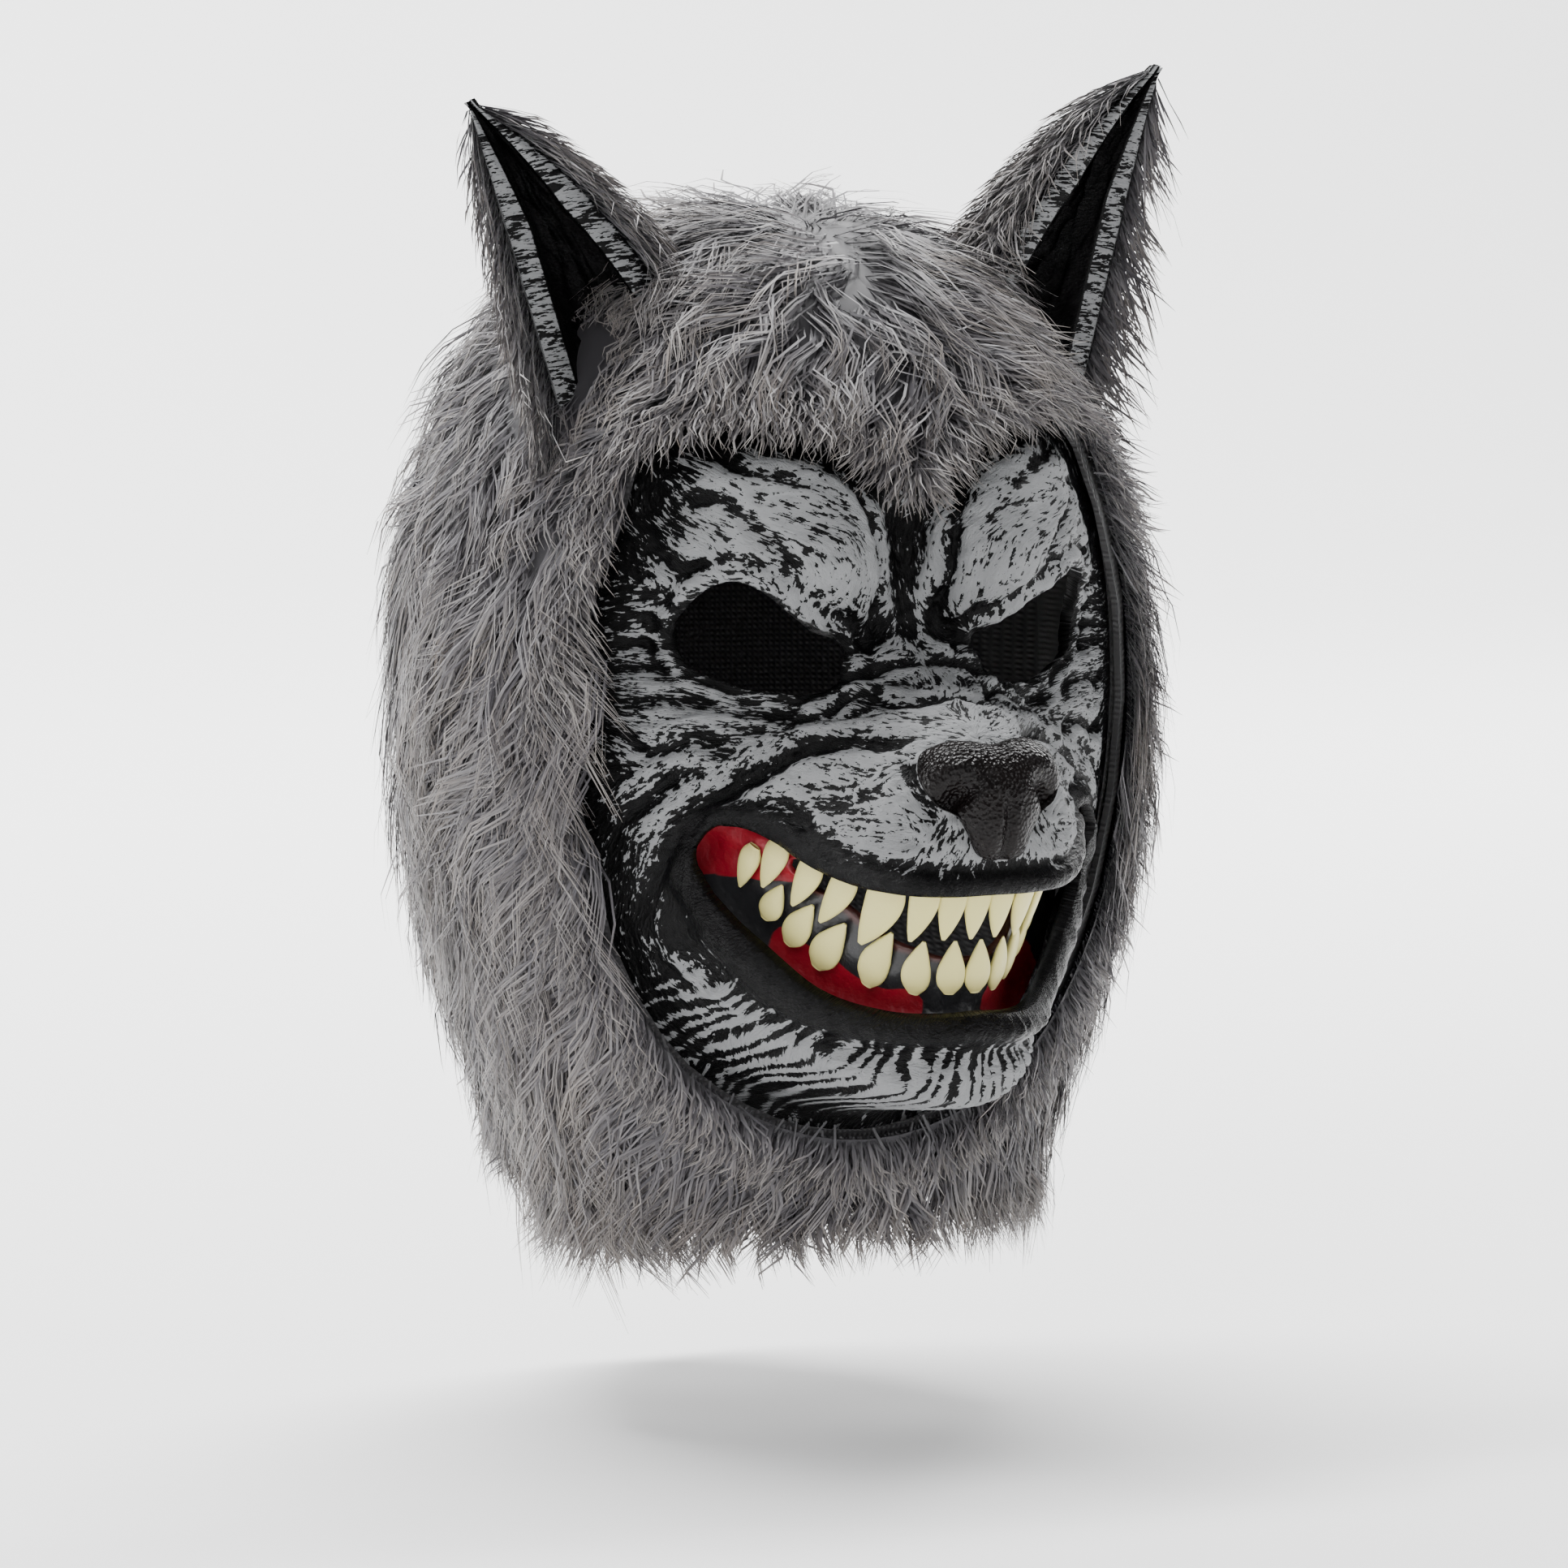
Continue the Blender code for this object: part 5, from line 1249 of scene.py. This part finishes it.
def make_hood_fur(material):
    """The long pile: wavy hairs gathered in locks, in pieces by the side of the hood they grow on."""
    random = np.random.default_rng(FUR_SEED)
    roots = lock_roots(random)
    point = read_map(HOOD_POINTS, roots)
    clear = near_ears(point)
    gone = near_ears(point) <= 0.0
    roots, clear = roots[~gone], clear[~gone]
    point = point[~gone]
    crown = smooth((point[:, 2] + 0.10) / 0.07)
    length = FUR_LENGTH * random.uniform(0.65, 1.10, len(roots)) * (0.35 + 0.65 * clear) * (1.0 - 0.30 * crown)
    height = FUR_HEIGHT * random.uniform(0.55, 1.15, len(roots)) * (0.4 + 0.6 * clear)
    hem = -HOOD_DROP + HEM_FALL * np.sign(point[:, 1]) * 0.9 - HEM_HANG * random.uniform(0.45, 1.0, len(roots))
    length = np.minimum(length, np.maximum(point[:, 2] - hem, 0.006))
    above = (point[:, 2] > FRINGE_LEVEL) & (point[:, 1] < -0.02)
    reach = 1.15 * -depth_inside(point[:, 0], point[:, 2], OPENING) + 0.004
    length = np.where(above, np.minimum(length, np.maximum(reach, 0.007)), length)
    paths, highs = grow(roots, length, height, random)
    tint = 0.5 + 0.35 * ripple(point, 0.035, 92) + random.normal(0, 0.22, len(roots))
    warm = np.clip(random.normal(0.35, 0.30, len(roots)), 0, 1)
    per = HAIRS_PER_LOCK // 1
    pieces = {"left": [], "right": [], "back": [], "crown": []}
    angle = np.arctan2(point[:, 0], -point[:, 1])
    side_of = np.where(angle < 0, "left", "right")
    part_of = np.where(np.abs(angle) > 2.1, "back", side_of)
    part_of = np.where(point[:, 2] > -0.075, "crown", part_of)
    t = np.linspace(0, 1, HAIR_SEGMENTS + 1)
    for where in pieces:
        picked = np.flatnonzero(part_of == where)
        owner = np.repeat(picked, per)
        spread = random.normal(0, 0.55, (len(owner), 2)) * LOCK_SPACING
        loose = random.uniform(0.25, 0.70, len(owner))[:, None] * (1 - t[None] ** 1.1) + 0.08
        reach = random.uniform(0.75, 1.08, len(owner))
        path = paths[owner]
        path = path[:, :1] + (path - path[:, :1]) * reach[:, None, None]
        path = path + spread[:, None, :] * (loose * 1.6)[..., None]
        wander = random.normal(0, 0.0011, (len(owner), 1, 2)) * t[None, :, None] ** 1.5
        path = path + wander
        high = highs[owner] * random.uniform(0.35, 1.05, len(owner))[:, None]
        stray = random.uniform(0, 1, len(owner)) < 0.04
        high = high * np.where(stray, 1.5, 1.0)[:, None]
        base = HOOD_WALL + PILE_GAP + 0.0005
        normal = read_map(HOOD_NORMALS, path)
        normal /= np.linalg.norm(normal, axis=-1, keepdims=True)
        high = MOST_HEIGHT * np.tanh(high / MOST_HEIGHT)
        points = read_map(HOOD_POINTS, path) + normal * (base + high)[..., None]
        width = HAIR_WIDTH * random.uniform(0.6, 1.15, len(owner))
        shade = np.clip(tint[owner] + random.normal(0, 0.22, len(owner)), 0, 1)
        heat = np.clip(warm[owner] + random.normal(0, 0.15, len(owner)), 0, 1)
        hair = np.stack(np.broadcast_arrays(t[None], shade[:, None], heat[:, None]), -1)
        facing = normal + random.normal(0, 0.35, (len(owner), 1, 3))
        nodes = ("hood_fur",) if where == "crown" else ()
        pieces[where] = ribbons(f"fur_{where}", points, facing, width, hair, material, nodes)
    return pieces


def out_of_opening(q):
    """Moves places of the flat map out to the edge of the face opening."""
    e = 0.0005
    for _ in range(6):
        point = read_map(HOOD_POINTS, q)
        x, z = point[:, 0], point[:, 2]
        depth = depth_inside(x, z, OPENING)
        across = (depth_inside(x + e, z, OPENING) - depth_inside(x - e, z, OPENING)) / (2 * e)
        up = (depth_inside(x, z + e, OPENING) - depth_inside(x, z - e, OPENING)) / (2 * e)
        way = -np.stack([across, np.zeros_like(across), up], -1) * depth[:, None]
        q = q + flat_step(q, way)
    return q


def flat_place(x, z):
    """The place on the flat map of points on the hood's front, given by x and z."""
    level = SECTIONS[:, 0]
    run = np.concatenate([[0], np.cumsum(np.hypot(np.diff(level), np.diff(SECTIONS[:, 1])))])
    drop, cos = -z, np.ones_like(z)
    for _ in range(8):
        sin = np.clip(x / np.interp(drop, level, SECTIONS[:, 1]), -0.999, 0.999)
        cos = np.sqrt(1 - sin**2)
        drop = -z - HEM_FALL * (drop / HOOD_DROP) ** 2 * cos
    far = np.interp(drop, level, run)
    return np.stack([far * sin, -far * cos], -1)


def make_edge_fur(material):
    """Hairs along the edge of the face opening, which lean over the face's edge and hide it."""
    random = np.random.default_rng(FUR_SEED + 1)
    count = 7500
    outline = even_loop(OPENING, 600)
    out = np.roll(outline, -1, 0) - np.roll(outline, 1, 0)
    out = np.stack([-out[:, 1], out[:, 0]], 1)
    out /= np.linalg.norm(out, axis=1, keepdims=True)
    pick = random.integers(0, len(outline), count)
    beside = outline[pick] + out[pick] * random.uniform(-0.0005, 0.006, count)[:, None]
    q = flat_place(beside[:, 0], beside[:, 1])
    lean = np.stack([-out[pick, 0], np.zeros(count), -out[pick, 1]], 1) * random.uniform(0.15, 0.9, count)[:, None]
    length = random.uniform(0.007, 0.016, count)
    height = random.uniform(0.004, 0.0095, count)
    path, high = grow(q, length, height, random, 0.5, lean)
    t = np.linspace(0, 1, HAIR_SEGMENTS + 1)
    shade = np.clip(random.normal(0.45, 0.28, count), 0, 1)
    heat = np.clip(random.normal(0.3, 0.25, count), 0, 1)
    hair = np.stack(np.broadcast_arrays(t[None], shade[:, None], heat[:, None]), -1)
    normal = read_map(HOOD_NORMALS, path)
    points = read_map(HOOD_POINTS, path) + normal * (HOOD_WALL + PILE_GAP + high)[..., None]
    width = HAIR_WIDTH * random.uniform(0.6, 1.1, count)
    facing = normal + random.normal(0, 0.35, (count, 1, 3))
    return ribbons("fur_edge", points, facing, width, hair, material)


def make_undercoat(material):
    """The dense base of the pile, so that no backing shows between the locks."""
    rows, columns = 90, 200
    level = SECTIONS[:, 0]
    run = np.concatenate([[0], np.cumsum(np.hypot(np.diff(level), np.diff(SECTIONS[:, 1])))])
    edge = np.interp(HOOD_DROP, level, run)
    far = np.linspace(0.0005, edge, rows)
    turn = np.arange(columns) * 2 * math.pi / columns
    q = np.stack([far[:, None] * np.sin(turn), -far[:, None] * np.cos(turn)], -1)
    base = read_map(HOOD_POINTS, q)
    normal = read_map(HOOD_NORMALS, q)
    inside = (base[..., 1] < 0) & (depth_inside(base[..., 0], base[..., 2], OPENING) > 0)
    faces = grid_faces(rows, columns, wrap=True).reshape(-1, 4)
    faces = faces[~inside.ravel()[faces].all(1)]
    edge = inside.ravel() & np.isin(np.arange(inside.size), faces)
    q = q.reshape(-1, 2)
    q[edge] = out_of_opening(q[edge])
    base, normal = read_map(HOOD_POINTS, q), read_map(HOOD_NORMALS, q)
    points = base + normal * (HOOD_WALL + PILE_GAP + 0.0012)
    hair = np.zeros(points.shape)
    hair[..., 0], hair[..., 1] = 0.12, 0.3
    return place(fast_mesh("fur_base", points, faces, vectors={"hair": hair}), "fur", material)


def make_ear_fur(side, letter, material):
    """Short plush on the back of an ear, combed towards its tip and edges."""
    random = np.random.default_rng(90 + side)
    shift = ear_shift(side, f"ear_{letter}")
    count = 7500
    t = 1.0 - random.uniform(0, 1, count) ** 0.62
    t = np.clip(t * 1.1 - 0.10, -0.10, 0.97)
    turn = random.uniform(0, math.pi, count)
    levels = np.linspace(-0.2, 1.0, 61)
    frames = [ear_frame(min(v, 0.995), side) for v in levels]
    middle, across, back = (np.array([f[k] for f in frames]) for k in range(3))
    half = np.array([f[3] for f in frames])
    deep = np.array([EAR_DEPTH * max(1.0 - v, 0.0) ** 0.75 + 0.001 for v in levels])

    def on_back(t, turn, grow):
        at = np.clip((t + 0.2) / 1.2 * 60, 0, 59.999)
        i = at.astype(int)
        f = (at - i)[:, None]
        pick = [v[i] * (1 - f) + v[i + 1] * f for v in (middle, across, back)]
        h = half[i] * (1 - f[:, 0]) + half[i + 1] * f[:, 0] + grow
        d = deep[i] * (1 - f[:, 0]) + deep[i + 1] * f[:, 0] + grow
        return pick[0] + pick[1] * (np.cos(turn) * h)[:, None] + pick[2] * (np.sin(turn) * d)[:, None]

    long = PLUSH_LENGTH * random.uniform(0.5, 1.15, count) * (1.0 + 0.9 * (random.uniform(0, 1, count) < 0.25))
    slope = random.normal(0.0, 0.22, count)
    loft = random.uniform(0.5, 1.5, count)
    steps = np.linspace(0, 1, HAIR_SEGMENTS)
    path = []
    for s in steps:
        rise = EAR_PILE * (0.25 + 0.95 * (1 - (1 - s) ** 1.6)) * loft * (1.0 - 0.25 * np.maximum(t, 0))
        fall = t - s * long / np.linalg.norm(EAR_TIP - EAR_INNER_BASE)
        lift = EAR_PILE_GAP + rise - EAR_PILE * 0.2
        path.append(on_back(fall, turn + slope * s + 0.25 * s * np.cos(turn) * -1, lift))
    path = np.stack(path, 1) + shift
    outward = np.gradient(path, axis=1)
    core = np.stack([on_back(t, turn, -0.01)] * len(steps), 1) + shift
    normal = path - core
    normal /= np.linalg.norm(normal, axis=-1, keepdims=True)
    shade = np.clip(random.normal(0.5, 0.25, count), 0, 1)
    heat = np.clip(random.normal(0.35, 0.25, count), 0, 1)
    hair = np.stack(np.broadcast_arrays(steps[None], shade[:, None], heat[:, None]), -1)
    width = HAIR_WIDTH * random.uniform(0.6, 1.1, count)
    facing = normal + random.normal(0, 0.3, path.shape)
    return ribbons(f"plush_{letter}", path, facing, width, hair, material, (f"ear_fur_{letter}",))


# Camera, floor and light


def make_camera():
    """The view of the photograph: from the viewer's left of the face, a little above its middle."""
    azimuth, elevation, distance = math.radians(-24.0), math.radians(5.0), 2.2
    level = math.cos(elevation)
    toward = np.array((math.sin(azimuth) * level, -math.cos(azimuth) * level, math.sin(elevation)))
    data = bpy.data.cameras.new("camera")
    data.type = "PERSP"
    data.sensor_width = 36.0
    data.lens = 178.3
    data.shift_x = 0.0057
    data.shift_y = -0.0424
    data.clip_start = 0.1
    camera = bpy.data.objects.new("camera", data)
    camera.location = np.array((0.0, 0.0, -0.140)) + toward * distance
    camera.rotation_mode = "QUATERNION"
    look = Vector(toward).to_track_quat("Z", "Y")
    camera.rotation_quaternion = look @ Matrix.Rotation(math.radians(0.8), 4, "Z").to_quaternion().inverted()
    bpy.context.scene.collection.objects.link(camera)
    bpy.context.scene.camera = camera


def make_stage():
    """A pale floor under the hem that curves up into a pale wall far behind."""
    floor_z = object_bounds()[0][2] - 0.030
    side, front, back, bend, high = 7.0, -6.0, 3.0, 1.6, 7.0
    turn = np.linspace(0, math.pi / 2, 13)
    profile = [(front, floor_z)]
    profile += [(back + bend * math.sin(a), floor_z + bend * (1 - math.cos(a))) for a in turn]
    profile.append((back + bend, high))
    points = [(x, y, z) for y, z in profile for x in (-side, side)]
    floor = fast_mesh("floor", points, grid_faces(len(profile), 2).reshape(-1, 4))
    n = Nodes("floor")
    where = n.add("ShaderNodeTexCoord").outputs["Object"]
    tone = n.mix(n.noise(where, 3.0), (0.93, 0.93, 0.93), (0.95, 0.95, 0.95))
    floor.data.materials.append(n.finish(tone, 0.9, Specular_IOR_Level=0.2))
    floor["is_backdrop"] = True


def add_area(name, place_at, aim, size, power):
    data = bpy.data.lights.new(name, "AREA")
    data.shape = "RECTANGLE"
    data.size, data.size_y = size
    data.energy = power
    light = bpy.data.objects.new(name, data)
    light.location = place_at
    light.rotation_mode = "QUATERNION"
    light.rotation_quaternion = (Vector(place_at) - Vector(aim)).to_track_quat("Z", "Y")
    bpy.context.scene.collection.objects.link(light)


def make_lights():
    """Soft studio light from both sides and above, on a pale surround."""
    aim = (0.0, 0.0, -0.12)
    add_area("key", (-1.5, -2.0, 1.3), aim, (1.0, 1.3), 30.0)
    add_area("fill", (2.0, -1.5, 0.5), aim, (0.9, 1.5), 15.0)
    add_area("rim", (1.6, 1.6, 1.1), aim, (0.8, 1.2), 30.0)
    add_area("rim_left", (-1.9, 1.3, 0.8), aim, (0.8, 1.2), 26.0)
    add_area("wall", (0.0, 1.2, 4.5), (0.0, 4.6, 0.6), (5.0, 1.5), 980.0)
    world = bpy.data.worlds.new("studio")
    world.use_nodes = True
    background = world.node_tree.nodes["Background"]
    background.inputs["Color"].default_value = (0.95, 0.97, 1.0, 1.0)
    background.inputs["Strength"].default_value = 0.17
    bpy.context.scene.world = world


def write_size():
    boxes = {"cad": CAD_BOX, "visual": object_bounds()}
    {key: [list(map(float, corner)) for corner in box] for key, box in boxes.items()}


def main():
    painted = painted_material("face_paint")
    place(make_face(), "face", painted, "face_shell")
    tooth = tooth_material()
    for node in sorted(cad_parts):
        if node.startswith("tooth_"):
            make_tooth(node, tooth)
    make_gums(gum_material())
    make_nose(glossy_black_material("nose_gloss"))
    fur = fur_material()
    for side, letter in ((1, "r"), (-1, "l")):
        make_ear(side, letter, painted)
        make_ear_fur(side, letter, fur)
    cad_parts["hood"].data.materials.clear()
    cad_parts["hood"].data.materials.append(knit_material())
    make_undercoat(fur)
    make_hood_fur(fur)
    make_edge_fur(fur)
    make_camera()
    make_stage()
    make_lights()


main()
write_size()
